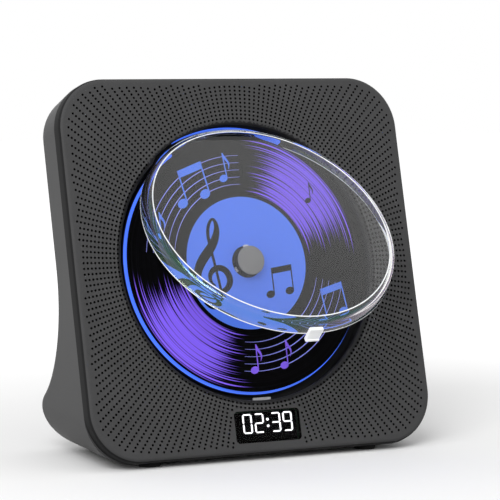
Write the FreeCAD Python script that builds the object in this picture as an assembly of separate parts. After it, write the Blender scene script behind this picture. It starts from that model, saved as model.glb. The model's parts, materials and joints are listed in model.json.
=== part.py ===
import FreeCAD, Part
import math
import os

# Desktop disc player. Every piece is drawn in the panel's own frame and then stood up with its lean:
# X runs across, Y runs from the face into the body, Z runs up the panel, and the origin is the face centre.
# Lengths are in millimetres and angles in degrees.

# Disc, hub and turntable
disc_radius = 60.0
disc_hole = 7.5
disc_thickness = 1.2
disc_depth = 3.4
turntable_radius = 15.0
turntable_thickness = 1.6
turntable_neck = 4.0
cap_gap = 0.5
cap_height = 5.0
cap_bevel = 1.2
hub_tab_count = 3
hub_tab_half = 1.2
hub_tab_grip = 0.9
hub_tab_root = 2.0
hub_tab_lift = 0.15
spindle_radius = 1.0

# Clearances that many pieces share
running_gap = 0.05
fit_gap = 0.02
overlap = 0.5
beyond = 1.0

# Disc well
well_clearance = 5.5
well_rise = 0.6
well_overhang = 1.3
well_lip = 3.0
well_lip_depth = 1.7
recess_half = 44.0
recess_lip = 1.7
well_wall = 1.6
well_floor_gap = 5.0
well_floor_thickness = 1.6
well_flange_width = 5.5
well_flange_thickness = 1.8
hub_hole_gap = 2.0
lens_slot_half = 6.0
lens_slot_end = 0.7

# Dust cover, its hinge and its catch
cover_outset = 1.0
cover_taper = 0.7
cover_base_depth = 2.4
cover_height = 8.0
cover_plate = 1.5
cover_bevel = 3.0
cover_inner_bevel = 1.0
cover_lip_bevel = 0.9
cover_open = 32.0
pivot_inset = 16.0
pivot_depth = 8.0
pin_radius = 1.0
pin_spare = 0.8
arm_offset = 12.0
arm_width = 4.0
arm_neck_inset = 1.0
arm_neck = 1.4
arm_top = 0.8
arm_root = 3.2
arm_thickness = 3.0
barrel_radius = 2.5
pocket_sagitta = 7.07
pocket_room = 4.0
pocket_gap = 1.44
hinge_block_gap = 0.6
hinge_block_rise = 2.8
tab_half = 3.4
tab_front = 2.0
tab_reach = 5.6
tab_thickness = 1.4
tab_hook = 0.4
tab_hook_height = 1.2
catch_half = 4.5
catch_stem = 1.6
catch_gap = 0.4

# Light ring under the disc edge and the lit strip at the back of the hinge pocket
ring_outset = 1.5
ring_inset = 1.1
ring_depth_gap = 1.4
ring_body = 1.8
ring_flange = 0.6
ring_gate = 0.9
strip_thickness = 0.6
strip_gap = 0.1
strip_rise = 1.6
led_board_thickness = 0.8
led_board_gap = 0.2
led_count = 16
led_half_width = 0.7
led_half_length = 1.0
led_height = 0.8

# Display window, its figures and its board
window_width = 33.7
window_height = 14.7
window_corner = 1.8
window_lip_gap = 1.65
window_foot = 5.05
window_gap = 0.15
lens_recess = 0.1
lens_thickness = 1.9
figure_height = 9.2
figure_width = 4.8
figure_stroke = 1.25
figure_gap = 0.16
figure_rise = 1.6
figure_pitch = 6.1
figure_pair_gap = 2.4
figure_shift = -0.2
figure_thickness = 0.4
figure_back_gap = 0.2
colon_spread = 3.0
colon_size = 1.3
module_depth = 5.4
module_margin = 0.8
display_spacer_inset = 2.0
display_board_depth = 9.0
display_board_thickness = 1.2
display_board_margin = 0.25
display_board_corner = 1.5
display_board_end = 3.5
display_post_gap = 4.65
display_post_radius = 2.4
receiver_gap = 7.5
receiver_half = 2.8
receiver_rise = 3.2
receiver_length = 4.6
receiver_lens_radius = 2.2
receiver_lens_tip = 1.2
receiver_lens_length = 1.4

# Front panel
panel_corner = 24.0
panel_plate = 2.4
panel_skirt = 6.5
panel_wall = 2.2
panel_bevel = 1.8
panel_lean = 14.14
tongue_length = 2.0
tongue_thickness = 1.2
tongue_gap = 1.0
tongue_root = 0.8

# Speaker perforations: straight rays of holes on rings round the disc
ray_count = 200
ring_pitch = 1.885
first_ring_gap = 2.015
hole_radius = 0.55
hole_sides = 6
sound_radius = 6.2

# Speakers in the lower corners
speaker_edge_gap = 0.19
speaker_gap = 1.32
speaker_rim = 2.2
speaker_rim_depth = 1.4
speaker_shoulder = 1.6
basket_wall = 1.2
gasket_thickness = 0.8
basket_depth = 8.2
magnet_radius = 10.5
magnet_depth = 6.0
cone_surround = 0.4
cone_edge = 0.8
cone_paper = 0.6
voice_coil_radius = 5.0

# Rear housing
housing_wall = 2.2
housing_draft_angle = 6.0
housing_room = 3.76
sweep_height = 93.0
sweep_radius = 54.3
sweep_angle = 73.0
nose_radius = 11.0
base_round = 22.0
foot_radius = 5.0
foot_height = 2.0
foot_recess = 0.8
foot_inset = 32.0
foot_front = -10.0
foot_back = 34.0

# Disc drive
chassis_gap = 6.3
chassis_thickness = 1.5
chassis_half = 34.0
chassis_corner = 4.0
chassis_end = 1.5
chassis_ear = 10.0
chassis_slot_half = 7.0
chassis_slot_corner = 3.0
damper_x = 28.0
damper_high = 14.0
damper_from_end = 9.5
damper_radius = 4.6
damper_waist = 2.9
damper_end = 1.6
damper_seat_gap = 1.8
damper_edge = 7.0
damper_sides = 8
damper_boss_radius = 4.0
motor_radius = 11.0
motor_gap = 0.6
lens_inner = 23.5
lens_edge_gap = 7.0
lens_barrel_radius = 4.2
lens_barrel_rise = 2.0
lens_radius = 2.4
lens_tip = 1.2
lens_rise = 0.8
lens_seat = 1.0
sled_gap = 0.5
sled_depth = 5.0
sled_right = 11.5
sled_left = -19.0
sled_up = 8.0
sled_down = 9.0
rod_radius = 1.5
rod_left = -15.0
rod_right = 7.0
rod_from_chassis = 3.5
rod_spare_high = 3.3
rod_spare_low = 4.5
rod_block_half = 3.0
rod_block_front = 2.6
rod_block_high = 2.6
rod_block_low = 3.5
gear_x = 24.0
gear_below = 1.75
gear_axle_radius = 1.0
gear_neck_radius = 4.4
small_teeth = 12
small_module = 1.0
small_front = 12.5
small_thickness = 2.0
large_teeth = 36
large_front = 15.0
large_thickness = 1.4
pinion_teeth = 10
pinion_spare = 0.2
fine_module = 0.6
pinion_angle = 25.0
pinion_hole = 2.0
mesh_gap = 0.1
small_side_play = 0.4
fine_side_play = 0.3
rack_spare = 3.5
rack_inset = 0.2
sled_motor_radius = 7.5
sled_motor_room = 4.53
sled_motor_wall = 3.0

# Keys on the top edge
key_count = 5
key_pitch = 17.0
key_length = 11.0
key_width = 5.4
key_depth = 16.5
key_proud = 1.3
key_gap = 0.3
key_travel = 0.9
key_bevel = 0.5
key_flange = 1.1
key_flange_height = 1.2
key_stop_gap = 0.6
key_rest_gap = 0.1
contact_height = 2.9
contact_half = 2.6
contact_stem = 1.4
contact_stem_height = 0.5
key_board_half = 4.6
key_board_thickness = 1.2
key_board_end = 4.5
key_post_gap = 5.0
key_post_radius = 2.6

# Main board with the sockets and the switch on the back
board_gap = 2.0
board_side = 14.0
board_head = 38.0
board_motor_gap = 6.5
board_depth = 14.5
board_thickness = 1.6
board_hole_inset = 3.4
board_post_radius = 2.4
chip_height = 1.2
chip_side = 10.0
chip_low = 21.5
driver_width = 8.0
driver_length = 12.0
part_inset = 6.0
capacitor_radius = 3.0
capacitor_height = 6.5
capacitor_pitch = 8.0
coil_radius = 2.4
coil_height = 5.5
coil_low = 11.5
socket_pitch = 19.0
jack_drop = 12.0
jack_bore = 1.8
jack_bore_depth = 10.0
jack_nose = 3.9
jack_half_width = 5.5
jack_half_height = 4.5
socket_hole_gap = 0.2
inlet_length = 9.0
inlet_width = 3.3
inlet_wall = 0.35
inlet_depth = 6.5
inlet_recess = 0.2
inlet_tongue_half = 3.3
inlet_tongue_thickness = 0.7
inlet_tongue_back = 1.2
switch_travel = 4.0
switch_room = 3.4
switch_half_width = 6.0
switch_half_height = 3.2
switch_channel = 1.4
switch_channel_half = 1.2
knob_width = 3.4
knob_height = 3.0
knob_proud = 0.9
knob_lift = 0.3
knob_stem_half = 1.4
knob_groove_half = 0.2
knob_groove_depth = 0.4
knob_groove_pitch = 0.9

# Screws and their posts
screw_radius = 1.2
screw_head = 2.5
screw_head_height = 1.5
screw_slack = 0.2
screw_sides = 6
thread_start = 1.0
post_radius = 3.4
post_sides = 12
post_meet = 10.0
post_high_inset = 18.0
post_low_inset = 8.0
post_low_z = 6.0
screw_seat_inset = 7.0
well_screw_angles = (25, 65, 115, 155, 205, 230, 310, 335)
well_screw_bite = 1.0

# Values worked out from those above
well_radius = disc_radius + well_clearance
opening_radius = well_radius - well_overhang
window_drop = opening_radius - well_rise + well_lip + window_lip_gap + window_height / 2.0
half = window_drop + window_height / 2.0 + window_foot
lean = math.radians(panel_lean)
draft = math.tan(math.radians(housing_draft_angle))
base_drop = half * math.cos(lean) + panel_skirt * math.sin(lean)
disc_bottom = disc_depth + disc_thickness
cap_radius = disc_hole - cap_gap
well_floor = disc_bottom + well_floor_gap
well_bottom = well_floor + well_floor_thickness
well_outer = well_radius + well_wall
well_flange_radius = well_outer + well_flange_width
cover_radius = disc_radius + cover_outset
cover_top_radius = cover_radius - cover_taper
pivot_up = cover_radius - pivot_inset
pivot_z = well_rise + pivot_up
arm_end = cover_radius - arm_neck_inset + arm_neck
open_angle = math.radians(cover_open)
arm_swing = (arm_end - pivot_up) * math.sin(open_angle) + arm_thickness / 2.0 * math.cos(open_angle)
pocket_floor = pivot_depth + arm_swing + pocket_gap
pocket_half = math.sqrt(cover_radius ** 2 - (cover_radius - pocket_sagitta) ** 2)
slab_depth = pocket_floor + well_wall + housing_room + housing_wall
sweep_start = sweep_height - half
ring_outer = disc_radius + ring_outset
ring_inner = disc_radius - ring_inset
ring_top = disc_bottom + ring_depth_gap
first_ring = opening_radius + first_ring_gap
corner_middle = half - panel_corner
corner_inner = panel_corner - panel_wall - tongue_gap - tongue_thickness - speaker_edge_gap
speaker_radius = (math.sqrt(2.0) * corner_middle + corner_inner - well_flange_radius - speaker_gap) / 2.0
speaker_offset = corner_middle + (corner_inner - speaker_radius) / math.sqrt(2.0)
speaker_front = panel_plate + gasket_thickness
basket_back = speaker_front + basket_depth
figure_front = lens_recess + lens_thickness + figure_back_gap
module_front = figure_front + figure_thickness
module_back = module_front + module_depth
display_post_x = window_width / 2.0 + display_post_gap
receiver_x = display_post_x + receiver_gap
chassis_depth = well_bottom + chassis_gap
chassis_back = chassis_depth + chassis_thickness
damper_seat = chassis_depth - damper_seat_gap
lens_outer = disc_radius - lens_edge_gap
sled_travel = lens_outer - lens_inner
sled_front = well_bottom + sled_gap
sled_back = sled_front + sled_depth
rod_depth = chassis_depth - rod_from_chassis
rod_high = sled_up + rod_spare_high - lens_inner
rod_low = -lens_outer - sled_down - rod_spare_low
damper_low = rod_low + damper_from_end
motor_front = turntable_thickness + disc_bottom + turntable_neck
gear_radius = small_module * small_teeth / 2.0
wheel_radius = fine_module * large_teeth / 2.0
pinion_radius = fine_module * pinion_teeth / 2.0
gear_z = well_rise - (lens_inner + lens_outer) / 2.0 - gear_below
pinion_reach = wheel_radius + pinion_radius + mesh_gap
pinion_x = gear_x + pinion_reach * math.cos(math.radians(pinion_angle))
pinion_z = gear_z + pinion_reach * math.sin(math.radians(pinion_angle))
key_post_x = (key_count - 1) / 2.0 * key_pitch + key_length / 2.0 + key_post_gap
board_left = chassis_half + board_gap
board_right = half - board_side
board_high = half - board_head
board_low = pinion_z + sled_motor_radius + board_motor_gap
board_back = board_depth + board_thickness
socket_x = (board_left + board_right) / 2.0
jack_z = board_high - jack_drop
inlet_z = jack_z - socket_pitch
switch_z = inlet_z - socket_pitch
switch_front = slab_depth - switch_room
foot_side = half - foot_inset
wide = 4.0 * half


def V(x, y, z):
    return FreeCAD.Vector(x, y, z)


def block(x0, x1, y0, y1, z0, z1):
    return Part.makeBox(x1 - x0, y1 - y0, z1 - z0, V(x0, y0, z0))


def rod(radius, y0, y1, x=0.0, z=0.0):
    return Part.makeCylinder(radius, y1 - y0, V(x, y0, z), V(0, 1, 0))


def rod_across(radius, x0, x1, y, z):
    return Part.makeCylinder(radius, x1 - x0, V(x0, y, z), V(1, 0, 0))


def rod_up(radius, z0, z1, x, y):
    return Part.makeCylinder(radius, z1 - z0, V(x, y, z0), V(0, 0, 1))


def flat(corners):
    return Part.Face(Part.makePolygon(corners + corners[:1]))


def ring_points(radius, sides, x, z, y):
    points = []
    for k in range(sides):
        a = 2.0 * math.pi * (k + 0.5) / sides
        points.append(V(x + radius * math.cos(a), y, z + radius * math.sin(a)))
    return points


def post(radius, y0, y1, x=0.0, z=0.0, sides=post_sides):
    # Small hidden round piece with flat sides, standing along the depth
    return flat(ring_points(radius, sides, x, z, y0)).extrude(V(0, y1 - y0, 0))


def post_up(radius, z0, z1, x, y, sides=post_sides):
    # The same piece standing along Z
    shape = post(radius, 0, z1 - z0, 0, 0, sides)
    shape.rotate(V(0, 0, 0), V(1, 0, 0), 90)
    shape.translate(V(x, y, z0))
    return shape


def frustum(near, far):
    # Solid between two like outlines, with one flat face for each side
    faces = [flat(near), flat(far)]
    for k in range(len(near)):
        n = (k + 1) % len(near)
        faces.append(flat([near[k], near[n], far[n], far[k]]))
    return Part.Solid(Part.Shell(faces))


def stepped(points, x, z, sides):
    # Hidden turned piece with flat sides, from radius and depth pairs of its outside
    stages = []
    for (r0, y0), (r1, y1) in zip(points, points[1:]):
        if y1 > y0:
            stages.append(frustum(ring_points(r0, sides, x, z, y0), ring_points(r1, sides, x, z, y1)))
    return join(stages)


def tube(outer, inner, y0, y1, x=0.0, z=0.0):
    return rod(outer, y0, y1, x, z).cut(rod(inner, y0 - beyond, y1 + beyond, x, z))


def turned(points, x=0.0, z=0.0):
    # Solid turned about a depth axis from radius and depth pairs
    solid = flat([V(r, y, 0) for r, y in points]).revolve(V(0, 0, 0), V(0, 1, 0), 360)
    solid.translate(V(x, 0, z))
    return solid


def arc(centre_x, centre_z, radius, start, end, y):
    spots = []
    for angle in (start, (start + end) / 2.0, end):
        a = math.radians(angle)
        spots.append(V(centre_x + radius * math.cos(a), y, centre_z + radius * math.sin(a)))
    return Part.Arc(*spots).toShape()


def rounded_wire(half_width, low, high, r_low, r_high, y, x=0.0):
    # Rounded rectangle in the XZ plane with its own radius for the low and the high corners
    left = x - half_width
    right = x + half_width
    edges = [
        Part.makeLine(V(left + r_low, y, low), V(right - r_low, y, low)),
        arc(right - r_low, low + r_low, r_low, -90, 0, y),
        Part.makeLine(V(right, y, low + r_low), V(right, y, high - r_high)),
        arc(right - r_high, high - r_high, r_high, 0, 90, y),
        Part.makeLine(V(right - r_high, y, high), V(left + r_high, y, high)),
        arc(left + r_high, high - r_high, r_high, 90, 180, y),
        Part.makeLine(V(left, y, high - r_high), V(left, y, low + r_low)),
        arc(left + r_low, low + r_low, r_low, 180, 270, y),
    ]
    return Part.Wire(edges)


def slab(half_width, low, high, radius, y0, y1, x=0.0):
    wire = rounded_wire(half_width, low, high, radius, radius, y0, x)
    return Part.Face(wire).extrude(V(0, y1 - y0, 0))


def square_slab(reach, radius, y0, y1):
    return slab(reach, -reach, reach, radius, y0, y1)


def pill(length, width, y0, y1, x, z):
    # Bar with round ends of eight flats, long along X, standing along the depth
    r = width / 2.0
    reach = length / 2.0 - r
    corners = []
    for side, start in ((1.0, -90.0), (-1.0, 90.0)):
        for k in range(9):
            a = math.radians(start + 22.5 * k)
            corners.append(V(x + side * reach + r * math.cos(a), y0, z + r * math.sin(a)))
    return flat(corners).extrude(V(0, y1 - y0, 0))


def pill_up(length, width, z0, z1, x, y):
    # The same bar standing along Z
    shape = pill(length, width, 0, z1 - z0, 0, 0)
    shape.rotate(V(0, 0, 0), V(1, 0, 0), 90)
    shape.translate(V(x, y, z0))
    return shape


def join(shapes):
    whole = shapes[0]
    for shape in shapes[1:]:
        whole = whole.fuse(shape)
    return whole.removeSplitter()


def without(solid, cuts):
    return solid.cut(Part.makeCompound(cuts))


def both_sides(make):
    return [make(-1), make(1)]


# Front panel

def post_spots():
    high = half - post_high_inset
    low = half - post_low_inset
    return [(side * x, z) for x, z in ((high, high), (low, post_low_z)) for side in (-1, 1)]


def display_post_spots():
    return [(side * display_post_x, -window_drop) for side in (-1, 1)]


def well_screw_spots():
    spots = []
    middle = (well_outer + well_flange_radius) / 2.0
    for angle in well_screw_angles:
        a = math.radians(angle)
        spots.append((middle * math.cos(a), well_rise + middle * math.sin(a)))
    return spots


def front_edges(solid):
    # Edges of the outline that lie in the face
    return [edge for edge in solid.Edges if abs(edge.BoundBox.YMin) < 1e-6 and abs(edge.BoundBox.YMax) < 1e-6]


def opening(radius, lip):
    # Round hole through the panel with a sloped lip
    cone = Part.makeCone(radius + lip, radius, well_lip_depth, V(0, 0, well_rise), V(0, 1, 0))
    return rod(radius, -beyond, panel_skirt + beyond, 0, well_rise).fuse(cone)


def cover_recess():
    # Wider stretch at the top of the opening that lets the rim of the open cover pass
    return opening(well_radius, recess_lip).common(block(-recess_half, recess_half, 0, wide, 0, half))


def panel_shell():
    body = square_slab(half, panel_corner, 0, panel_skirt)
    body = body.makeChamfer(panel_bevel, front_edges(body))
    body = body.cut(opening(opening_radius, well_lip)).cut(cover_recess())
    hollow = square_slab(half - panel_wall, panel_corner - panel_wall, panel_plate, panel_skirt + beyond)
    return body.cut(hollow)


def panel_tongue():
    # Rib inside the skirt that reaches into the rear housing
    outer = half - panel_wall
    middle = outer - tongue_gap
    inner = middle - tongue_thickness
    back = panel_skirt + tongue_length
    root = square_slab(outer, panel_corner - panel_wall, panel_plate, panel_skirt - tongue_root)
    rib = square_slab(middle, panel_corner - half + middle, panel_plate, back)
    space = square_slab(inner, panel_corner - half + inner, 0, back + beyond)
    return root.fuse(rib).cut(space)


def hole_prism(x, z, turn):
    corners = []
    for k in range(hole_sides):
        a = turn + 2.0 * math.pi * k / hole_sides
        corners.append(V(x + hole_radius * math.cos(a), -beyond, z + hole_radius * math.sin(a)))
    return flat(corners).extrude(V(0, panel_plate + 2.0 * beyond, 0))


def perforations():
    # Holes on the rays and rings that lie in front of the two speakers
    holes = []
    rings = int((math.sqrt(2.0) * half - first_ring) / ring_pitch)
    for ray in range(ray_count):
        a = 2.0 * math.pi * ray / ray_count
        for ring in range(rings):
            r = first_ring + ring_pitch * ring
            x = r * math.cos(a)
            z = well_rise + r * math.sin(a)
            if math.hypot(abs(x) - speaker_offset, z + speaker_offset) < sound_radius:
                holes.append(hole_prism(x, z, a))
    return holes


def window_cut():
    reach = window_width / 2.0 + window_gap
    rise = window_height / 2.0 + window_gap
    return slab(reach, -window_drop - rise, -window_drop + rise, window_corner, -beyond, panel_plate + beyond)


def front_panel():
    root = panel_plate - overlap
    pieces = [panel_shell(), panel_tongue()]
    pieces += [post(post_radius, root, post_meet, x, z) for x, z in post_spots()]
    pieces += [post(display_post_radius, root, display_board_depth, x, z) for x, z in display_post_spots()]
    start = panel_plate + thread_start
    cuts = [window_cut()]
    cuts += [post(screw_radius, start, post_meet + beyond, x, z, screw_sides) for x, z in post_spots()]
    cuts += [post(screw_radius, start, display_board_depth + beyond, x, z, screw_sides)
             for x, z in display_post_spots()]
    cuts += [post(screw_radius, panel_plate - well_screw_bite - fit_gap, panel_plate + beyond, x, z, screw_sides)
             for x, z in well_screw_spots()]
    return without(without(join(pieces), cuts), perforations())


# Rear housing

class Path:
    # Outline walked forward in depth and height with lines and tangent arcs
    def __init__(self, y, z, heading):
        self.y = y
        self.z = z
        self.heading = heading
        self.edges = []

    def to(self, y, z):
        self.edges.append(Part.makeLine(V(0, self.y, self.z), V(0, y, z)))
        self.y = y
        self.z = z

    def bend(self, radius, turn):
        side = 1.0 if turn > 0 else -1.0
        start = math.radians(self.heading)
        centre_y = self.y - side * radius * math.sin(start)
        centre_z = self.z + side * radius * math.cos(start)
        spots = []
        for share in (0.0, 0.5, 1.0):
            a = math.radians(self.heading + turn * share)
            spots.append(V(0, centre_y + side * radius * math.sin(a), centre_z - side * radius * math.cos(a)))
        self.edges.append(Part.Arc(*spots).toShape())
        self.heading += turn
        self.y = spots[2].y
        self.z = spots[2].z


def base_height(y, z):
    # Height of a point above the flat base, measured upright
    return z * math.cos(lean) - y * math.sin(lean) + base_drop


def side_profile(inset, front):
    # Slab back, concave sweep, rounded heel and flat base
    top = 2.0 * half
    path = Path(slab_depth - inset, top, -90.0)
    path.to(slab_depth - inset, sweep_start)
    path.bend(sweep_radius + inset, sweep_angle)
    path.bend(nose_radius - inset, panel_lean - 90.0 - path.heading)
    path.bend(base_height(path.y, path.z) - inset, -90.0)
    run = (path.y - front) / math.cos(lean)
    path.to(front, path.z - run * math.sin(lean))
    path.to(front, top)
    path.to(slab_depth - inset, top)
    return path


def base_edges(form, inset):
    # The two long edges where the sides meet the base
    found = []
    for edge in form.Edges:
        ends = [v.Point for v in edge.Vertexes]
        on_base = all(abs(base_height(p.y, p.z) - inset) < 1e-5 for p in ends)
        if on_base and len(ends) == 2 and abs(ends[0].y - ends[1].y) > slab_depth:
            found.append(edge)
    return found


def housing_form(inset, front):
    # Drafted slab with rounded top corners, cut by the base and trimmed to the side profile
    far = slab_depth + sweep_radius + 2.0 * nose_radius
    wires = []
    for y in (front, far):
        shrink = inset + draft * (y - panel_skirt)
        edge = half - shrink
        wires.append(rounded_wire(edge, -2.0 * half, edge, beyond, panel_corner - shrink, y))
    form = Part.makeLoft(wires, True, True)
    under = Part.makeBox(wide, wide, wide, V(-wide / 2.0, -wide / 2.0, -wide - base_drop + inset))
    under.rotate(V(0, 0, 0), V(1, 0, 0), panel_lean)
    form = form.cut(under)
    form = form.makeFillet(base_round - inset, base_edges(form, inset))
    prism = Part.Face(Part.Wire(side_profile(inset, front).edges)).extrude(V(wide, 0, 0))
    prism.translate(V(-wide / 2.0, 0, 0))
    return form.common(prism)


def key_spots():
    middle = (key_count - 1) / 2.0
    return [(k - middle) * key_pitch for k in range(key_count)]


def key_post_spots():
    return [side * key_post_x for side in (-1, 1)]


def top_height(y):
    # Outside height of the drafted top wall at a depth
    return half - draft * (y - panel_skirt)


def back_depth(z):
    # Outside depth of the back at a height on the slab or on the upper sweep
    fall = max(0.0, sweep_start - z)
    return slab_depth + sweep_radius - math.sqrt(sweep_radius ** 2 - fall ** 2)


def screw_seat(z):
    return back_depth(z) - screw_seat_inset


def housing_posts():
    pieces = [post(post_radius, post_meet, back_depth(z) - overlap, x, z) for x, z in post_spots()]
    pieces += [post(board_post_radius, board_back, back_depth(z) - overlap, x, z) for x, z in board_screw_spots()]
    top = top_height(key_depth) - overlap
    pieces += [post_up(key_post_radius, key_board_top, top, x, key_depth) for x in key_post_spots()]
    return pieces


def screw_holes():
    slack = screw_radius + screw_slack
    head = screw_head + 2.0 * screw_slack
    holes = []
    for x, z in post_spots():
        holes.append(post(slack, post_meet - beyond, back_depth(z) + beyond, x, z, screw_sides))
        holes.append(post(head, screw_seat(z), back_depth(z) + beyond, x, z))
    tip = board_screw_tip() + beyond / 2.0
    holes += [post(screw_radius, board_back - beyond, tip, x, z, screw_sides) for x, z in board_screw_spots()]
    tip = key_screw_tip() + beyond / 4.0
    holes += [post_up(screw_radius, key_board_top - beyond, tip, x, key_depth, screw_sides)
              for x in key_post_spots()]
    return holes


def socket_holes():
    holes = []
    inside = board_back + thread_start
    holes.append(rod(jack_nose + socket_hole_gap, inside, back_depth(jack_z) + beyond, socket_x, jack_z))
    spread = 2.0 * (socket_hole_gap + running_gap)
    holes.append(pill(inlet_length + spread, inlet_width + spread, inside, back_depth(inlet_z) + beyond,
                      socket_x, inlet_z))
    reach = (knob_width + switch_travel) / 2.0 + key_gap
    rise = knob_height / 2.0 + key_gap
    holes.append(block(socket_x - reach, socket_x + reach, switch_front, back_depth(switch_z) + 2.0 * beyond,
                       switch_z - rise, switch_z + rise))
    return holes


def key_holes():
    spread = 2.0 * key_gap
    low = key_stop
    return [pill_up(key_length + spread, key_width + spread, low, half + beyond, x, key_depth)
            for x in key_spots()]


def rear_housing():
    outer = housing_form(0.0, panel_skirt)
    inner = housing_form(housing_wall, panel_skirt - 2.0 * beyond)
    body = join([outer.cut(inner)] + housing_posts())
    return without(body, screw_holes() + socket_holes() + key_holes())


# Feet stand upright, so they are drawn without the lean

def foot_spots():
    return [(side * foot_side, y) for side in (-1, 1) for y in (foot_front, foot_back)]


def foot(x, y):
    top = foot_recess - base_drop
    return post_up(foot_radius, top - foot_height - foot_recess, top, x, y, 2 * post_sides)


def foot_pockets():
    low = -base_drop - beyond
    high = foot_recess - base_drop
    return [post_up(foot_radius + running_gap, low, high, x, y, 2 * post_sides) for x, y in foot_spots()]


# Disc well with the lens slot and the hinge pocket

def pocket_chest():
    # Box that holds the hinge pocket behind the well, trimmed to the well's outside
    reach = pocket_half + well_wall
    back = pocket_floor + well_wall
    low = well_rise + pivot_up - pocket_room - well_wall
    chest = block(-reach, reach, well_floor, back, low, well_rise + well_outer - overlap)
    return chest.common(rod(well_outer, 0, back, 0, well_rise))


def pocket_hollow():
    low = well_rise + pivot_up - pocket_room
    hollow = block(-pocket_half, pocket_half, 0, pocket_floor, low, well_rise + well_outer)
    return hollow.common(rod(well_radius, 0, pocket_floor, 0, well_rise))


def hinge_block():
    reach = arm_offset - arm_width / 2.0 - hinge_block_gap
    return block(-reach, reach, pivot_depth - barrel_radius, pocket_floor + overlap,
                 pivot_z - hinge_block_rise, pivot_z + hinge_block_rise)


def lens_slot():
    low = well_rise - lens_outer - lens_barrel_radius - lens_slot_end
    return block(-lens_slot_half, lens_slot_half, well_floor - beyond, well_bottom + beyond, low, well_rise)


def window_notch():
    reach = window_width / 2.0 + display_post_gap - overlap
    return block(-reach, reach, 0, panel_plate + well_flange_thickness, -half, -window_drop + window_height / 2.0
                 + 2.0 * overlap)


def disc_well():
    flange_back = panel_plate + well_flange_thickness
    body = rod(well_outer, panel_plate, well_bottom, 0, well_rise)
    body = body.fuse(rod(well_flange_radius, panel_plate, flange_back, 0, well_rise))
    body = body.fuse(pocket_chest())
    body = body.cut(rod(well_radius, 0, well_floor, 0, well_rise))
    body = body.cut(pocket_hollow())
    bosses = [post(damper_boss_radius, well_bottom - overlap, damper_seat, x, z) for x, z in damper_spots()]
    body = join([body, hinge_block()] + bosses)
    cuts = [rod(turntable_radius + hub_hole_gap, 0, well_bottom + beyond, 0, well_rise), lens_slot(), window_notch()]
    reach = arm_offset
    cuts.append(rod_across(pin_radius + fit_gap / 2.0, -reach, reach, pivot_depth, pivot_z))
    cuts += [post(screw_radius, well_bottom + overlap, damper_seat + beyond, x, z, screw_sides)
             for x, z in damper_spots()]
    cuts += [post(screw_radius + screw_slack, 0, flange_back + beyond, x, z, screw_sides)
             for x, z in well_screw_spots()]
    return without(body, cuts)


# Light ring and strip

def ring_gap(solid):
    # Leaves the hinge pocket free at the top
    gate = pocket_half + well_wall + ring_gate
    return solid.cut(block(-gate, gate, 0, slab_depth, well_rise, half))


def light_ring():
    ring = tube(ring_outer, ring_inner, ring_top, ring_top + ring_body, 0, well_rise)
    skirt = tube(ring_outer, ring_outer - ring_flange, ring_top, well_floor, 0, well_rise)
    return ring_gap(ring.fuse(skirt).removeSplitter())


def light_bridge():
    outer = well_radius - strip_gap
    strip = tube(outer, outer - strip_thickness, well_floor - strip_rise, pocket_floor, 0, well_rise)
    reach = pocket_half - overlap
    return strip.common(block(-reach, reach, 0, slab_depth, well_rise, half))


def ring_led_board():
    outer = ring_outer - ring_flange - led_board_gap
    inner = ring_inner - 2.0 * led_board_gap
    front = well_floor - led_board_thickness
    board = post(outer, front, well_floor, 0, well_rise, 60)
    board = board.cut(post(inner, front - beyond, well_floor + beyond, 0, well_rise, 60))
    pieces = [ring_gap(board)]
    middle = (outer + inner) / 2.0
    for k in range(led_count):
        angle = 360.0 * (k + 0.5) / led_count
        over_pocket = abs(middle * math.cos(math.radians(angle))) < pocket_half + damper_radius
        if over_pocket and angle < 180.0:
            continue
        led = block(middle - led_half_width, middle + led_half_width, front - led_height + running_gap,
                    front + running_gap, -led_half_length, led_half_length)
        led.rotate(V(0, 0, 0), V(0, -1, 0), angle)
        led.translate(V(0, 0, well_rise))
        pieces.append(led)
    return join(pieces)


# Dust cover, drawn shut and then swung to its open stop

def cover_dish():
    top = cover_base_depth - cover_height
    inner_top = top + cover_plate
    low = top + cover_bevel
    corner = (1.0 - math.sqrt(0.5)) * cover_bevel
    wall = cover_radius - cover_plate
    slim = cover_top_radius - cover_plate
    outside = [(0, top), (cover_top_radius - cover_bevel, top), (cover_top_radius - corner, top + corner),
               (cover_top_radius, low), (cover_radius, cover_base_depth)]
    inside = [(wall + cover_lip_bevel, cover_base_depth), (wall, cover_base_depth - 1.4 * cover_lip_bevel),
              (slim, low), (slim - cover_inner_bevel, inner_top), (0, inner_top)]
    return turned(outside + inside, 0, well_rise)


def cover_arm(side):
    # Goose-neck arm: over the rim, down into the pocket and back to the hinge
    x0 = side * arm_offset - arm_width / 2.0
    x1 = x0 + arm_width
    inner = well_rise + cover_radius - arm_neck_inset
    end = well_rise + arm_end
    low = pivot_depth - arm_thickness / 2.0
    high = pivot_depth + arm_thickness / 2.0
    root = block(x0, x1, arm_top, cover_base_depth, well_rise + cover_radius - arm_root, end)
    root = root.cut(rod(cover_radius - overlap, arm_top - beyond, cover_base_depth + beyond, 0, well_rise))
    neck = block(x0, x1, arm_top, high, inner, end)
    beam = block(x0, x1, low, high, pivot_z, end)
    barrel = rod_across(barrel_radius, x0, x1, pivot_depth, pivot_z)
    bore = rod_across(pin_radius + running_gap, x0 - beyond, x1 + beyond, pivot_depth, pivot_z)
    return join([root, neck, beam, barrel]).cut(bore)


def tab_outer():
    return cover_radius + tab_thickness - tab_hook


def cover_tab():
    outer = -tab_outer()
    plate = block(-tab_half, tab_half, -tab_front, tab_reach, outer, outer + tab_thickness)
    plate = plate.cut(rod(cover_radius - cover_plate + overlap, -wide, cover_base_depth, 0, 0))
    hook = block(-tab_half, tab_half, tab_reach - tab_hook_height, tab_reach, outer - tab_hook, outer)
    tab = plate.fuse(hook)
    tab.translate(V(0, 0, well_rise))
    return tab


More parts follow.
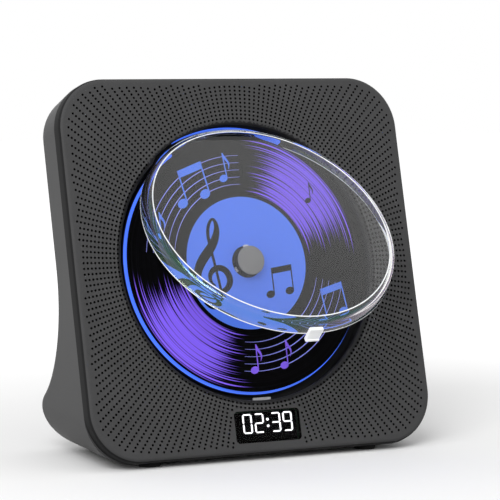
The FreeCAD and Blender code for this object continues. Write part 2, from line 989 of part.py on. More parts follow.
def dust_cover():
    cover = join([cover_dish(), cover_tab()] + both_sides(cover_arm))
    cover.rotate(V(0, pivot_depth, pivot_z), V(1, 0, 0), -cover_open)
    return cover


def hinge_pin():
    reach = arm_offset + arm_width / 2.0 + pin_spare
    return rod_across(pin_radius, -reach, reach, pivot_depth, pivot_z)


def cover_catch():
    outer = -math.sqrt((well_radius - strip_gap) ** 2 - catch_half ** 2)
    front = panel_plate + key_gap
    lip_end = -tab_outer() - tab_hook - catch_gap
    stem = block(-catch_half, catch_half, front, well_floor, outer, outer + catch_stem)
    lip = block(-catch_half, catch_half, front, tab_reach - tab_hook_height - catch_gap, outer, lip_end)
    catch = stem.fuse(lip)
    catch.translate(V(0, 0, well_rise))
    return catch


# Disc, turntable and hub

def compact_disc():
    return tube(disc_radius, disc_hole, disc_depth, disc_bottom, 0, well_rise)


def turntable():
    plate_back = disc_bottom + turntable_thickness
    neck_back = motor_front - motor_gap
    tip = chassis_depth - beyond
    return turned([(0, disc_bottom), (turntable_radius, disc_bottom), (turntable_radius, plate_back),
                   (turntable_neck, plate_back), (turntable_neck, neck_back), (spindle_radius, neck_back),
                   (spindle_radius, tip), (0, tip)], 0, well_rise)


def hub_tab_blocks(gap):
    # Sprung tabs that stand out over the disc's hole edge
    depth = disc_depth - hub_tab_lift
    tabs = []
    for k in range(hub_tab_count):
        tab = block(cap_radius - hub_tab_root - gap, cap_radius + hub_tab_grip, depth - hub_tab_half - gap,
                    depth + gap, -hub_tab_half - gap, hub_tab_half + gap)
        tab.rotate(V(0, 0, 0), V(0, -1, 0), 90.0 + 360.0 * k / hub_tab_count)
        tab.translate(V(0, 0, well_rise))
        tabs.append(tab)
    return tabs


def hub_cap():
    top = disc_depth - cap_height
    cap = rod(cap_radius, top, disc_bottom, 0, well_rise)
    cap = cap.makeChamfer(cap_bevel, [e for e in cap.Edges if e.BoundBox.YMax < top + fit_gap])
    return without(cap, hub_tab_blocks(fit_gap))


def spindle_motor():
    body = post(motor_radius, motor_front, chassis_depth, 0, well_rise, 2 * post_sides)
    return body.cut(rod(spindle_radius + running_gap, 0, chassis_depth - overlap, 0, well_rise))


# Pickup drive

def damper_spots():
    return [(side * damper_x, well_rise + z) for side in (-1, 1) for z in (damper_high, damper_low)]


def chassis_damper(x, z):
    back = chassis_back + damper_end
    body = post(damper_radius, damper_seat, back, x, z, damper_sides)
    groove = post(damper_radius + beyond, chassis_depth, chassis_back, x, z, damper_sides)
    groove = groove.cut(post(damper_waist, 0, back, x, z, damper_sides))
    return body.cut(groove).cut(post(screw_radius + screw_slack, 0, back + beyond, x, z, screw_sides))


def rod_blocks():
    # Blocks on the chassis that hold the ends of the guide rods
    front = rod_depth - rod_block_front
    back = chassis_depth + overlap
    blocks = []
    for x in (rod_left, rod_right):
        for z0, length in ((rod_high - rod_block_high, rod_block_high), (rod_low, rod_block_low)):
            blocks.append(block(x - rod_block_half, x + rod_block_half, front, back, well_rise + z0,
                                well_rise + z0 + length))
    return blocks


def chassis_plate():
    low = well_rise + rod_low - chassis_end
    high = well_rise + damper_high + damper_edge
    plate = slab(chassis_half, low, high, chassis_corner, chassis_depth, chassis_back)
    ear = slab(chassis_ear, pinion_z - chassis_ear, pinion_z + chassis_ear, chassis_corner, chassis_depth,
               chassis_back, pinion_x)
    slot_low = well_rise - lens_outer - chassis_slot_half
    slot_high = well_rise - lens_inner + chassis_slot_half - beyond
    slot = slab(chassis_slot_half, slot_low, slot_high, chassis_slot_corner, 0, wide, (rod_left + rod_right) / 2.0)
    return join([plate, ear]).cut(slot)


def mechanism_chassis():
    chassis = join([chassis_plate()] + rod_blocks())
    cuts = [post(damper_waist + 2.0 * running_gap, 0, wide, x, z, damper_sides) for x, z in damper_spots()]
    for x in (rod_left, rod_right):
        cuts.append(rod_up(rod_radius + fit_gap / 2.0, well_rise + rod_low - beyond, well_rise + rod_high + beyond,
                           x, rod_depth))
    cuts.append(rod(gear_axle_radius + fit_gap / 2.0, 0, wide, gear_x, gear_z))
    cuts.append(post(pinion_hole, 0, wide, pinion_x, pinion_z))
    return without(chassis, cuts)


def guide_rods():
    low = well_rise + rod_low
    high = well_rise + rod_high
    return [rod_up(rod_radius, low, high, x, rod_depth) for x in (rod_left, rod_right)]


def tooth_outline(count, module, phase, side_play):
    # Straight flanked teeth with a shortened tip and side play
    radius = module * count / 2.0
    tip = radius + 0.7 * module
    root = radius - 1.1 * module
    half_tooth = (math.pi * module / 2.0 - side_play) / 2.0
    tip_angle = (half_tooth - 0.26 * module) / tip
    root_angle = (half_tooth + 0.34 * module) / root
    points = []
    for k in range(count):
        middle = math.radians(phase) + 2.0 * math.pi * k / count
        for r, shift in ((root, -root_angle), (tip, -tip_angle), (tip, tip_angle), (root, root_angle)):
            points.append((r * math.cos(middle + shift), r * math.sin(middle + shift)))
    return points


def gear_slice(outline, x, z, y0, y1):
    return flat([V(x + px, y0, z + pz) for px, pz in outline]).extrude(V(0, y1 - y0, 0))


def reduction_gear():
    small_back = small_front + small_thickness
    large_back = large_front + large_thickness
    small = gear_slice(tooth_outline(small_teeth, small_module, 0.0, small_side_play), gear_x, gear_z,
                       small_front, small_back)
    large = gear_slice(tooth_outline(large_teeth, fine_module, 0.0, fine_side_play), gear_x, gear_z,
                       large_front, large_back)
    neck = post(gear_neck_radius, small_back - running_gap, large_front + running_gap, gear_x, gear_z)
    return join([small, neck, large]).cut(rod(gear_axle_radius + running_gap, 0, wide, gear_x, gear_z))


def gear_axle():
    return rod(gear_axle_radius, small_front - overlap, chassis_back, gear_x, gear_z)


def sled_motor_back():
    # The motor reaches to its named distance from the back wall at its upper edge
    return back_depth(pinion_z + sled_motor_radius) - housing_wall - sled_motor_room


def motor_pinion():
    share = (pinion_angle * large_teeth / 360.0) % 1.0
    phase = pinion_angle + 180.0 - (0.5 - share) * 360.0 / pinion_teeth
    back = large_front + large_thickness + pinion_spare
    teeth = gear_slice(tooth_outline(pinion_teeth, fine_module, phase, fine_side_play), pinion_x, pinion_z,
                       large_front - pinion_spare, back)
    tip = sled_motor_back() - sled_motor_wall
    return join([teeth, rod(gear_axle_radius, back - overlap, tip, pinion_x, pinion_z)])


def sled_motor():
    back = sled_motor_back()
    body = post(sled_motor_radius, chassis_back, back, pinion_x, pinion_z, 2 * post_sides)
    bore_end = back - sled_motor_wall + overlap
    return body.cut(rod(gear_axle_radius + running_gap, 0, bore_end, pinion_x, pinion_z))


def rack_tooth(z, line_x, front, thickness):
    half_tooth = (math.pi * small_module / 2.0 - small_side_play) / 2.0
    root = half_tooth + 0.4 * small_module
    tip = half_tooth - 0.25 * small_module
    x0 = line_x - 1.2 * small_module
    x1 = line_x + 0.7 * small_module
    corners = [V(x0, front, z - root), V(x1, front, z - tip), V(x1, front, z + tip), V(x0, front, z + root)]
    return flat(corners).extrude(V(0, thickness, 0))


def rack():
    # Toothed bar along the sled that stays in mesh over the whole travel
    pitch = math.pi * small_module
    line_x = gear_x - gear_radius - mesh_gap
    low = gear_z - rack_spare
    high = gear_z + rack_spare + sled_travel
    front = small_front + rack_inset
    thickness = small_thickness - 2.0 * rack_inset
    pieces = [block(sled_right - beyond, line_x - 1.1 * small_module, front, front + thickness, low, high)]
    for k in range(int((high - low) / pitch)):
        z = gear_z - pitch / 2.0 + k * pitch
        if z - pitch / 2.0 >= low and z + pitch / 2.0 <= high:
            pieces.append(rack_tooth(z, line_x, front, thickness))
    return pieces


def pickup_sled():
    z = well_rise - lens_inner
    barrel_front = well_floor - lens_barrel_rise
    pieces = [block(sled_left, sled_right, sled_front, sled_back, z - sled_down, z + sled_up)]
    pieces.append(post(lens_barrel_radius, barrel_front, sled_front + overlap, 0, z))
    sled = join(pieces + rack())
    cuts = [rod_up(rod_radius + running_gap, z - half, z + half, x, rod_depth) for x in (rod_left, rod_right)]
    cuts.append(post(lens_radius + 4.0 * running_gap, 0, barrel_front + lens_seat, 0, z))
    return without(sled, cuts)


def objective_lens():
    front = well_floor - lens_barrel_rise
    return stepped([(lens_tip, front - lens_rise), (lens_radius, front), (lens_radius, front + lens_seat)], 0,
                   well_rise - lens_inner, post_sides)


# Display

def display_lens():
    rise = window_height / 2.0
    return slab(window_width / 2.0, -window_drop - rise, -window_drop + rise, window_corner, lens_recess,
                lens_recess + lens_thickness)


# The bars that light for each shown figure
zero = ("top", "right_up", "right_low", "low", "left_low", "left_up")
two = ("top", "right_up", "middle", "left_low", "low")
three = ("top", "right_up", "middle", "right_low", "low")
nine = ("top", "right_up", "right_low", "low", "left_up", "middle")


def figure_bars(lit, x):
    w = figure_width / 2.0
    h = figure_height / 2.0
    s = figure_stroke
    gap = figure_gap
    bars = {
        "top": (-w + gap, w - gap, h - s, h),
        "right_up": (w - s, w, gap, h - s - gap),
        "right_low": (w - s, w, -h + s + gap, -gap),
        "low": (-w + gap, w - gap, -h, -h + s),
        "left_low": (-w, -w + s, -h + s + gap, -gap),
        "left_up": (-w, -w + s, gap, h - s - gap),
        "middle": (-w + s + gap, w - s - gap, -s / 2.0, s / 2.0),
    }
    middle = figure_rise - window_drop
    solids = []
    for name in lit:
        x0, x1, z0, z1 = bars[name]
        solids.append(block(x + x0, x + x1, figure_front, module_front, middle + z0, middle + z1))
    return solids


def figure_places():
    inner = (figure_pitch + figure_pair_gap) / 2.0
    outer = inner + figure_pitch
    return [figure_shift + x for x in (-outer, -inner, inner, outer)]


def display_digits():
    solids = []
    for lit, x in zip((zero, two, three, nine), figure_places()):
        solids += figure_bars(lit, x)
    dot = colon_size / 2.0
    for side in (-1, 1):
        z = figure_rise - window_drop + side * colon_spread / 2.0
        solids.append(block(figure_shift - dot, figure_shift + dot, figure_front, module_front, z - dot, z + dot))
    return solids


def display_module():
    reach = window_width / 2.0 - module_margin
    rise = window_height / 2.0 - module_margin
    return block(-reach, reach, module_front, module_back, -window_drop - rise, -window_drop + rise)


def display_board():
    left = -display_post_x - display_board_end
    right = receiver_x + display_board_end
    rise = window_height / 2.0 + display_board_margin
    board = slab((right - left) / 2.0, -window_drop - rise, -window_drop + rise, display_board_corner,
                 display_board_depth, display_board_depth + display_board_thickness, (left + right) / 2.0)
    reach = window_width / 2.0 - module_margin - display_spacer_inset
    high = window_height / 2.0 - module_margin - display_spacer_inset
    spacer = block(-reach, reach, module_back, display_board_depth + running_gap, -window_drop - high,
                   -window_drop + high)
    holes = [post(screw_radius + screw_slack, 0, wide, x, z, screw_sides) for x, z in display_post_spots()]
    return without(join([board, spacer]), holes)


def ir_receiver():
    front = display_board_depth - receiver_length
    body = block(receiver_x - receiver_half, receiver_x + receiver_half, front, display_board_depth,
                 -window_drop - receiver_rise, -window_drop + receiver_rise)
    lens = stepped([(receiver_lens_tip, front - receiver_lens_length), (receiver_lens_radius, front - overlap),
                    (receiver_lens_radius, front + overlap)], receiver_x, -window_drop, post_sides)
    return body.fuse(lens)


# Speakers

def speaker_turned(points, side):
    return stepped(points, side * speaker_offset, -speaker_offset, 2 * post_sides)


def speaker_gasket(side):
    inner = speaker_radius - speaker_rim
    ring = speaker_turned([(speaker_radius, panel_plate), (speaker_radius, speaker_front)], side)
    return ring.cut(speaker_turned([(inner, panel_plate - beyond), (inner, speaker_front + beyond)], side))


def speaker_frame(side):
    rim_back = speaker_front + speaker_rim_depth
    inner = speaker_radius - speaker_rim
    basket = speaker_turned([(speaker_radius, speaker_front), (speaker_radius, rim_back),
                             (speaker_radius - speaker_shoulder, rim_back),
                             (magnet_radius + overlap, basket_back)], side)
    space = speaker_turned([(inner, speaker_front - beyond), (inner, rim_back),
                            (magnet_radius - overlap, basket_back - basket_wall),
                            (voice_coil_radius + 4.0 * overlap, basket_back + beyond)], side)
    return basket.cut(space)


def speaker_cone(side):
    front = speaker_front + led_board_gap
    outer = speaker_radius - speaker_rim - cone_surround
    coil_front = basket_back - basket_wall - cone_surround
    body = speaker_turned([(outer, front), (outer, front + cone_edge), (voice_coil_radius, coil_front),
                           (voice_coil_radius, basket_back - led_board_gap)], side)
    hollow = speaker_turned([(outer - cone_paper, front - fit_gap),
                             (voice_coil_radius - cone_paper, coil_front - beyond)], side)
    return body.cut(hollow)


def speaker_magnet(side):
    return speaker_turned([(magnet_radius, basket_back), (magnet_radius, basket_back + magnet_depth)], side)


# Keys on the top edge

key_wall_in = top_height(key_depth) - housing_wall / math.cos(math.radians(housing_draft_angle))
key_stop = key_wall_in - draft * key_width - key_stop_gap
key_bottom = key_stop - key_flange_height
contact_top = key_bottom - key_travel - key_rest_gap
key_board_top = contact_top - contact_height


def key(x):
    top = top_height(key_depth) + key_proud
    body = pill_up(key_length, key_width, key_stop - overlap, top, x, key_depth)
    body = body.makeChamfer(key_bevel, [e for e in body.Edges if e.BoundBox.ZMin > top - fit_gap])
    spread = 2.0 * key_flange
    flange = pill_up(key_length + spread, key_width + spread, key_bottom, key_stop, x, key_depth)
    return body.fuse(flange).removeSplitter()


def key_board():
    reach = key_post_x + key_board_end
    board = block(-reach, reach, key_depth - key_board_half, key_depth + key_board_half,
                  key_board_top - key_board_thickness, key_board_top)
    holes = [post_up(screw_radius + screw_slack, 0, half, x, key_depth, screw_sides) for x in key_post_spots()]
    return without(board, holes)


def key_contacts():
    solids = []
    for x in key_spots():
        low = block(x - contact_half, x + contact_half, key_depth - contact_half, key_depth + contact_half,
                    key_board_top, contact_top - contact_stem_height + running_gap)
        solids.append(low.fuse(post_up(contact_stem, contact_top - contact_stem_height, contact_top, x, key_depth)))
    return solids


# Main board, sockets and switch on the back

def board_screw_spots():
    sides = (board_left + board_hole_inset, board_right - board_hole_inset)
    return [(x, z) for x in sides for z in (board_low + board_hole_inset, board_high - board_hole_inset)]


def board_parts():
    # Two chips on the front of the board, two capacitors and a coil on its back
    front = board_depth - chip_height
    left = board_left + part_inset
    right = board_right - capacitor_pitch
    low = board_low + chip_low
    parts = [block(left, left + chip_side, front, board_depth + running_gap, low, low + chip_side)]
    parts.append(block(right - driver_width, right, front, board_depth + running_gap, inlet_z + capacitor_radius,
                       inlet_z + capacitor_radius + driver_length))
    back = board_back - running_gap
    for k in range(2):
        parts.append(post(capacitor_radius, back, board_back + capacitor_height, left,
                          inlet_z + beyond + k * capacitor_pitch))
    parts.append(post(coil_radius, back, board_back + coil_height, right, board_low + coil_low))
    return parts


def main_board():
    board = block(board_left, board_right, board_depth, board_back, board_low, board_high)
    holes = [post(screw_radius + screw_slack, 0, wide, x, z, screw_sides) for x, z in board_screw_spots()]
    return without(join([board] + board_parts()), holes)


def audio_jack():
    back = back_depth(jack_z)
    shell = back - housing_wall - key_gap
    body = block(socket_x - jack_half_width, socket_x + jack_half_width, board_back, shell,
                 jack_z - jack_half_height, jack_z + jack_half_height)
    body = body.fuse(rod(jack_nose, shell - overlap, back, socket_x, jack_z)).removeSplitter()
    return body.cut(rod(jack_bore, back - jack_bore_depth, back + beyond, socket_x, jack_z))


def power_inlet():
    back = back_depth(inlet_z) - inlet_recess
    slim = 2.0 * inlet_wall
    shell = pill(inlet_length, inlet_width, board_back, back, socket_x, inlet_z)
    shell = shell.cut(pill(inlet_length - slim, inlet_width - slim, back - inlet_depth, back + beyond,
                           socket_x, inlet_z))
    rise = inlet_tongue_thickness / 2.0
    tongue = block(socket_x - inlet_tongue_half, socket_x + inlet_tongue_half, back - inlet_depth - overlap,
                   back - inlet_tongue_back, inlet_z - rise, inlet_z + rise)
    return shell.fuse(tongue).removeSplitter()


def power_switch():
    body = block(socket_x - switch_half_width, socket_x + switch_half_width, board_back, switch_front,
                 switch_z - switch_half_height, switch_z + switch_half_height)
    reach = (knob_width + switch_travel) / 2.0 + 2.0 * running_gap
    return body.cut(block(socket_x - reach, socket_x + reach, switch_front - switch_channel, switch_front + beyond,
                          switch_z - switch_channel_half, switch_z + switch_channel_half))


def switch_knob():
    x = socket_x - switch_travel / 2.0
    side = switch_channel_half - 4.0 * running_gap
    back = back_depth(switch_z) + knob_proud
    stem = block(x - knob_stem_half, x + knob_stem_half, switch_front - switch_channel + 4.0 * running_gap,
                 switch_front + overlap, switch_z - side, switch_z + side)
    head = block(x - knob_width / 2.0, x + knob_width / 2.0, switch_front + knob_lift, back,
                 switch_z - knob_height / 2.0, switch_z + knob_height / 2.0)
    grooves = []
    for k in (-1, 0, 1):
        middle = x + k * knob_groove_pitch
        grooves.append(block(middle - knob_groove_half, middle + knob_groove_half, back - knob_groove_depth,
                             back + beyond, switch_z - knob_height, switch_z + knob_height))
    return without(stem.fuse(head), grooves)


# Fasteners

def screw(x, z, seat, tip):
    # Pan head screw whose head sits at the seat depth and whose tip points forward
    head = post(screw_head, seat, seat + screw_head_height, x, z, screw_sides)
    return head.fuse(post(screw_radius, tip, seat + running_gap, x, z, screw_sides)).removeSplitter()


def front_screw(x, z, seat, tip):
    # The same screw driven from the front
    shape = screw(x, z, 0.0, seat - tip)
    shape.rotate(V(x, 0, z), V(1, 0, 0), 180)
    shape.translate(V(0, seat, 0))
    return shape


def up_screw(x, y, seat, tip):
    head = post_up(screw_head, seat - screw_head_height, seat, x, y, screw_sides)
    return head.fuse(post_up(screw_radius, seat - running_gap, tip, x, y, screw_sides)).removeSplitter()


def housing_screws():
    tip = panel_plate + thread_start + overlap
    return [screw(x, z, screw_seat(z), tip) for x, z in post_spots()]


def well_screws():
    seat = panel_plate + well_flange_thickness
    return [screw(x, z, seat, panel_plate - well_screw_bite) for x, z in well_screw_spots()]


def damper_screws():
    seat = chassis_back + damper_end
    return [screw(x, z, seat, well_bottom + 2.0 * overlap) for x, z in damper_spots()]


def board_screw_tip():
    return board_back + board_post_radius + board_thickness + screw_head


def key_screw_tip():
    return key_board_top + key_post_radius + overlap


def board_screws():
    solids = [front_screw(x, z, board_depth, board_screw_tip()) for x, z in board_screw_spots()]
    seat = display_board_depth + display_board_thickness
    tip = panel_plate + thread_start + overlap
    solids += [screw(x, z, seat, tip) for x, z in display_post_spots()]
    seat = key_board_top - key_board_thickness
    solids += [up_screw(x, key_depth, seat, key_screw_tip()) for x in key_post_spots()]
    return solids


def stood_up(shape):
    shape = shape.copy()
    shape.rotate(V(0, 0, 0), V(1, 0, 0), -panel_lean)
    return shape


leaning = {
    "front_panel": front_panel(),
    "disc_well": disc_well(),
    "light_ring": light_ring(),
    "light_bridge": light_bridge(),
    "ring_led_board": ring_led_board(),
    "dust_cover": dust_cover(),
    "hinge_pin": hinge_pin(),
    "cover_catch": cover_catch(),
    "compact_disc": compact_disc(),
    "turntable": turntable(),
    "hub_cap": hub_cap(),
    "hub_tabs": Part.makeCompound(hub_tab_blocks(0.0)),
    "spindle_motor": spindle_motor(),
    "mechanism_chassis": mechanism_chassis(),
    "chassis_dampers": Part.makeCompound([chassis_damper(x, z) for x, z in damper_spots()]),
    "guide_rods": Part.makeCompound(guide_rods()),
    "pickup_sled": pickup_sled(),
    "objective_lens": objective_lens(),
    "reduction_gear": reduction_gear(),
    "gear_axle": gear_axle(),
    "motor_pinion": motor_pinion(),
    "sled_motor": sled_motor(),
    "display_lens": display_lens(),
    "display_digits": Part.makeCompound(display_digits()),
    "display_module": display_module(),
    "display_board": display_board(),
    "ir_receiver": ir_receiver(),
    "key_board": key_board(),
    "key_contacts": Part.makeCompound(key_contacts()),
    "main_board": main_board(),
    "audio_jack": audio_jack(),
    "power_inlet": power_inlet(),
    "power_switch": power_switch(),
    "switch_knob": switch_knob(),
    "housing_screws": Part.makeCompound(housing_screws()),
    "well_screws": Part.makeCompound(well_screws()),
    "damper_screws": Part.makeCompound(damper_screws()),
    "board_screws": Part.makeCompound(board_screws()),
}
for side, word in ((-1, "left"), (1, "right")):
    leaning["speaker_gasket_" + word] = speaker_gasket(side)
    leaning["speaker_frame_" + word] = speaker_frame(side)
    leaning["speaker_cone_" + word] = speaker_cone(side)
    leaning["speaker_magnet_" + word] = speaker_magnet(side)
for number, x in enumerate(key_spots(), 1):
    leaning["key_" + str(number)] = key(x)

nodes = {name: stood_up(shape) for name, shape in leaning.items()}
nodes["rear_housing"] = without(stood_up(rear_housing()), foot_pockets())
nodes["rubber_feet"] = Part.makeCompound([foot(x, y) for x, y in foot_spots()])

# The open cover reaches furthest forward and the heel furthest back, and the part is centred between them
reach_front = nodes["dust_cover"].optimalBoundingBox(False, False).YMin
reach_back = nodes["rear_housing"].optimalBoundingBox(False, False).YMax
face_y = -(reach_front + reach_back) / 2.0
face_z = base_drop + foot_height

os.makedirs("parts", exist_ok=True)
for name, shape in nodes.items():
    shape.translate(V(0, face_y, face_z))
    shape.exportStep("parts/" + name + ".step")
    if not shape.isValid():
        print("not valid:", name)

print("face centre", round(face_y, 4), round(face_z, 4))
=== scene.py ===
import json
import math

import bmesh
import bpy
from mathutils import Matrix, Vector
from mathutils.geometry import delaunay_2d_cdt

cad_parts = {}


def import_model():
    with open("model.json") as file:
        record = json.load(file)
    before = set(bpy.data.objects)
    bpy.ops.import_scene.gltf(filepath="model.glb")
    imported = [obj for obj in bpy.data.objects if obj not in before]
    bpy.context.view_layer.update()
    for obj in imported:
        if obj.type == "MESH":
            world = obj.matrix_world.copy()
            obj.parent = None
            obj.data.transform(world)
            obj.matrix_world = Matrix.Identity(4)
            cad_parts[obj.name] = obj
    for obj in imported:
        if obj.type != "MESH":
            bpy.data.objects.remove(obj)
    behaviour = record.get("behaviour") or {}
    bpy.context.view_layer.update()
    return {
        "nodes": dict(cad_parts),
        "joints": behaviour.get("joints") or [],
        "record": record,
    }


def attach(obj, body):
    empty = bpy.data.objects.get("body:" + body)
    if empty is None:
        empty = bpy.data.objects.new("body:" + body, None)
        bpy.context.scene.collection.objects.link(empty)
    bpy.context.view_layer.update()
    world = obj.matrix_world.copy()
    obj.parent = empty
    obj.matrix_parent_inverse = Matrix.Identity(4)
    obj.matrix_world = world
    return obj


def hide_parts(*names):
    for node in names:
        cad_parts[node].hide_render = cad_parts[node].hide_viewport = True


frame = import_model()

# Looks of the desktop disc player. Sizes are in millimetres until a mesh is made, and angles in
# degrees. Pieces of the front are drawn in the panel's own frame: x across, y up the panel, z out
# of its face, with the origin where the disc's axis meets the face.
MM = 0.001

# Meshes: angle of a sharp edge, bevel on sharp edges, and metres within which CAD points are one
sharp_angle = 32.0
edge_bevel = 0.18
weld_distance = 2e-6

# Front panel and its perforation
panel_side = 176.0
panel_corner = 24.0
panel_plate = 2.4
panel_skirt = 6.5
panel_wall = 2.2
panel_edge_round = 2.1
edge_steps = 6
band_step = 4
corner_points = 20
well_rise = 0.6
opening_radius = 64.2
recess_radius = 65.5
recess_turn = 42.0
recess_blend = 3.0
lip_radius = 67.2
lip_depth = 1.7
lip_steps = (0.36, 0.22, 0.1, 0.03, 0.0)
# Front faces inside this radius take the near-black lip colour, painted shade
lip_dark = 66.5
lip_points = 240
ray_count = 200
ring_count = 40
ring_pitch = 1.885
first_ring = 66.215
hole_radius = 0.58
hole_sides = 8
grille_margin = 3.7
window_side_margin = 1.3
window_top_margin = 0.7

# Display window and its figures
window_width = 33.7
window_height = 14.7
window_corner = 1.8
window_points = 6
window_drop = 75.6
figure_depth = 2.2
figure_thickness = 0.4
figure_height = 8.9
figure_width = 4.7
figure_stroke = 0.62
figure_rise = 1.6
figure_gap = 0.16
figure_level = figure_rise - window_drop - well_rise
figure_places = (-9.3, -3.2, 5.4, 11.5)
colon_place = 1.2
colon_spread = 3.0
colon_size = 0.6
colon_points = 12

# Disc, its print and the hub
disc_radius = 60.0
disc_hole = 7.5
disc_thickness = 1.2
disc_depth = 3.4
disc_edge = 0.2
disc_points = 200
ink_height = 0.03
label_radius = 31.0
label_hole = 7.6
label_points = 120
sheen_inner = 33.0
sheen_outer = 59.2
sheen_turn = 44.0
sheen_tone = (0.25, 0.135, 1.0)
sheen_blur = 0.3
sheen_ragged = 1.5
wedge_start = 0.5
wedge_end = 0.86
groove_pitch = 0.8
cap_radius = 6.9
cap_top = 1.6
cap_round = 0.6
cap_back = 4.6
cap_points = 96
staff_first = 37.0
staff_pitch = 3.4
staff_width = 0.45
staff_steps = 24
staff_lines = 5
staff_thin = 0.35

# Light ring: the glow stops at an outer radius and below a level
ring_tone = (0.058, 0.15, 0.8)
ring_dark = (0.004, 0.006, 0.02)
ring_edge = 61.0
ring_level = -6.25
bridge_edge = 70.0
bridge_level = -11.5
glow_edge_blur = 0.1
glow_level_blur = 0.2

# Dust cover
cover_radius = 60.5
cover_top_radius = 59.9
cover_base = -2.4
cover_height = 8.0
cover_plate = 1.5
cover_round = 3.0
cover_inner_round = 1.6
cover_lip_bevel = 0.9
cover_lip_slope = 1.4
cover_foot = 0.35
cover_foot_mid = 0.1
cover_points = 220
cover_open = 32.0
pivot_up = 45.0
pivot_back = -8.0
arm_offset = 12.0
arm_width = 4.0
arm_thickness = 3.0
arm_neck_inner = 60.0
arm_neck = 1.4
arm_top = -0.8
barrel_radius = 2.5
barrel_points = 32
barrel_inset = 0.06
arm_round = 0.4
arm_root = 1.9
arm_root_round = 0.3
arm_root_lift = 0.05
tab_half = 3.4
tab_reach = 5.6
tab_radius = 61.0
tab_front = 2.0
tab_inner = 0.9
tab_outer = 1.0
tab_round = 0.45
hook_out = 0.4
hook_in = 0.3
hook_height = 1.2
hook_round = 0.3
join_inset = 0.02
# Section radius of the white rings painted as highlights on the cover's edges
rim_line = 0.3
rim_start = 57.3
rim_end = 57.7
rim_film = 650.0
# Glow of those white pieces, painted light
painted_highlight_glow = 0.25

# Rear housing
rear_round = 2.8
rear_segments = 5
rear_flat_angle = 0.5
rear_edge_angle = 25.0
rear_slope = 0.3
rear_depth = 22.0
rear_side = 60.0
rear_top = 70.0
screw_spots = ((70.0, 70.0), (80.0, 6.0))
screw_room = 6.0

# Camera, found by fitting the panel's outline in a 500 pixel picture
image_side = 500.0
focal_pixels = 2507.0
camera_distance = 1159.06
camera_turn = 27.42
camera_rise = 4.436
camera_right = 0.233
camera_up = 6.093
sensor_width = 36.0
clip_start = 0.05

# Light
sky_level = 0.7
floor_lift = 0.4
floor_tone = 0.95
floor_bounce = 0.15
floor_reach = 4.0
floor_grain = 300.0
lift_start = 120.0
lift_end = 700.0
lamp_spot = (-1.3, -1.5, 1.25)
lamp_target = (0.0, 0.0, 0.09)
lamp_size = 1.2
lamp_power = 36.0

# Grain of moulded materials
broad_grain = 60.0
fine_share = 0.7
gloss_spread = 0.06

# Material numbers of the panel's faces; the band, hole and lip ones are darker copies of the face's
# grey, painted shade
FACE, BAND_SHADE, HOLE_SHADE, LIP_SHADE = range(4)


def joint(name):
    return next(j for j in frame["joints"] if j["name"] == name)


def panel_frame():
    spin = joint("disc_spin")
    out = Vector(spin["axis"]).normalized()
    across = Vector((1.0, 0.0, 0.0))
    up = out.cross(across)
    origin = Vector(spin["pos_m"]) + out * disc_depth * MM
    turn = Matrix((across, up, out)).transposed().to_4x4()
    return Matrix.Translation(origin) @ turn


PANEL = panel_frame()


def cover_frame():
    # The cover is drawn shut and swung about its hinge to the open rest position
    pivot = Matrix.Translation(Vector((0.0, pivot_up, pivot_back)) * MM)
    swing = Matrix.Rotation(-math.radians(cover_open), 4, "X")
    return PANEL @ pivot @ swing @ pivot.inverted()


# Mesh helpers

def place(name, mesh, matrix=PANEL):
    mesh.transform(matrix)
    piece = bpy.data.objects.new(name, mesh)
    bpy.context.scene.collection.objects.link(piece)
    return piece


def soften(mesh):
    mesh.polygons.foreach_set("use_smooth", [True] * len(mesh.polygons))
    mesh.set_sharp_from_angle(angle=math.radians(sharp_angle))
    return mesh


def mesh_from(name, points, faces, parts=None):
    mesh = bpy.data.meshes.new(name)
    mesh.from_pydata([Vector(p) * MM for p in points], [], faces)
    if parts:
        mesh.polygons.foreach_set("material_index", parts)
    mesh.update()
    return soften(mesh)


def mesh_from_bmesh(name, form):
    mesh = bpy.data.meshes.new(name)
    bmesh.ops.scale(form, vec=(MM, MM, MM), verts=form.verts)
    bmesh.ops.recalc_face_normals(form, faces=form.faces)
    form.to_mesh(mesh)
    form.free()
    return soften(mesh)


def arc_points(centre_x, centre_y, radius, start, end, count):
    points = []
    for k in range(count + 1):
        a = math.radians(start + (end - start) * k / count)
        points.append((centre_x + radius * math.cos(a), centre_y + radius * math.sin(a)))
    return points


def circle(radius, count, x=0.0, y=0.0, start=0.0):
    return arc_points(x, y, radius, start, start + 360.0, count)[:-1]


def rounded_rectangle(half_width, half_height, corner, count, y=0.0):
    points = []
    for sx, sy, start in ((1, 1, 0), (-1, 1, 90), (-1, -1, 180), (1, -1, 270)):
        points += arc_points(sx * (half_width - corner), y + sy * (half_height - corner), corner,
                             start, start + 90, count)
    return points


def turned(name, profile, steps):
    # Ring of a profile of radius and height pairs, or a solid where the profile meets the axis
    points, faces, rings = [], [], []
    for radius, height in profile:
        first = len(points)
        if radius == 0.0:
            points.append((0.0, 0.0, height))
            rings.append([first] * steps)
            continue
        points += [(x, y, height) for x, y in circle(radius, steps)]
        rings.append(list(range(first, first + steps)))
    for near, far in zip(rings, rings[1:] + rings[:1]):
        for k in range(steps):
            n = (k + 1) % steps
            face = list(dict.fromkeys((near[k], near[n], far[n], far[k])))
            if len(face) > 2:
                faces.append(face)
    mesh = bpy.data.meshes.new(name)
    mesh.from_pydata([Vector(p) * MM for p in points], [], faces)
    form = bmesh.new()
    form.from_mesh(mesh)
    bmesh.ops.recalc_face_normals(form, faces=form.faces)
    form.to_mesh(mesh)
    form.free()
    return soften(mesh)


def rounded_block(low, high, edge):
    form = bmesh.new()
    size = Vector(high) - Vector(low)
    middle = (Vector(high) + Vector(low)) / 2.0
    bmesh.ops.create_cube(form, size=1.0)
    bmesh.ops.scale(form, vec=size, verts=form.verts)
    bmesh.ops.translate(form, vec=middle, verts=form.verts)
    bmesh.ops.bevel(form, geom=list(form.edges), offset=edge, segments=3, profile=0.5,
                    affect="EDGES")
    return form


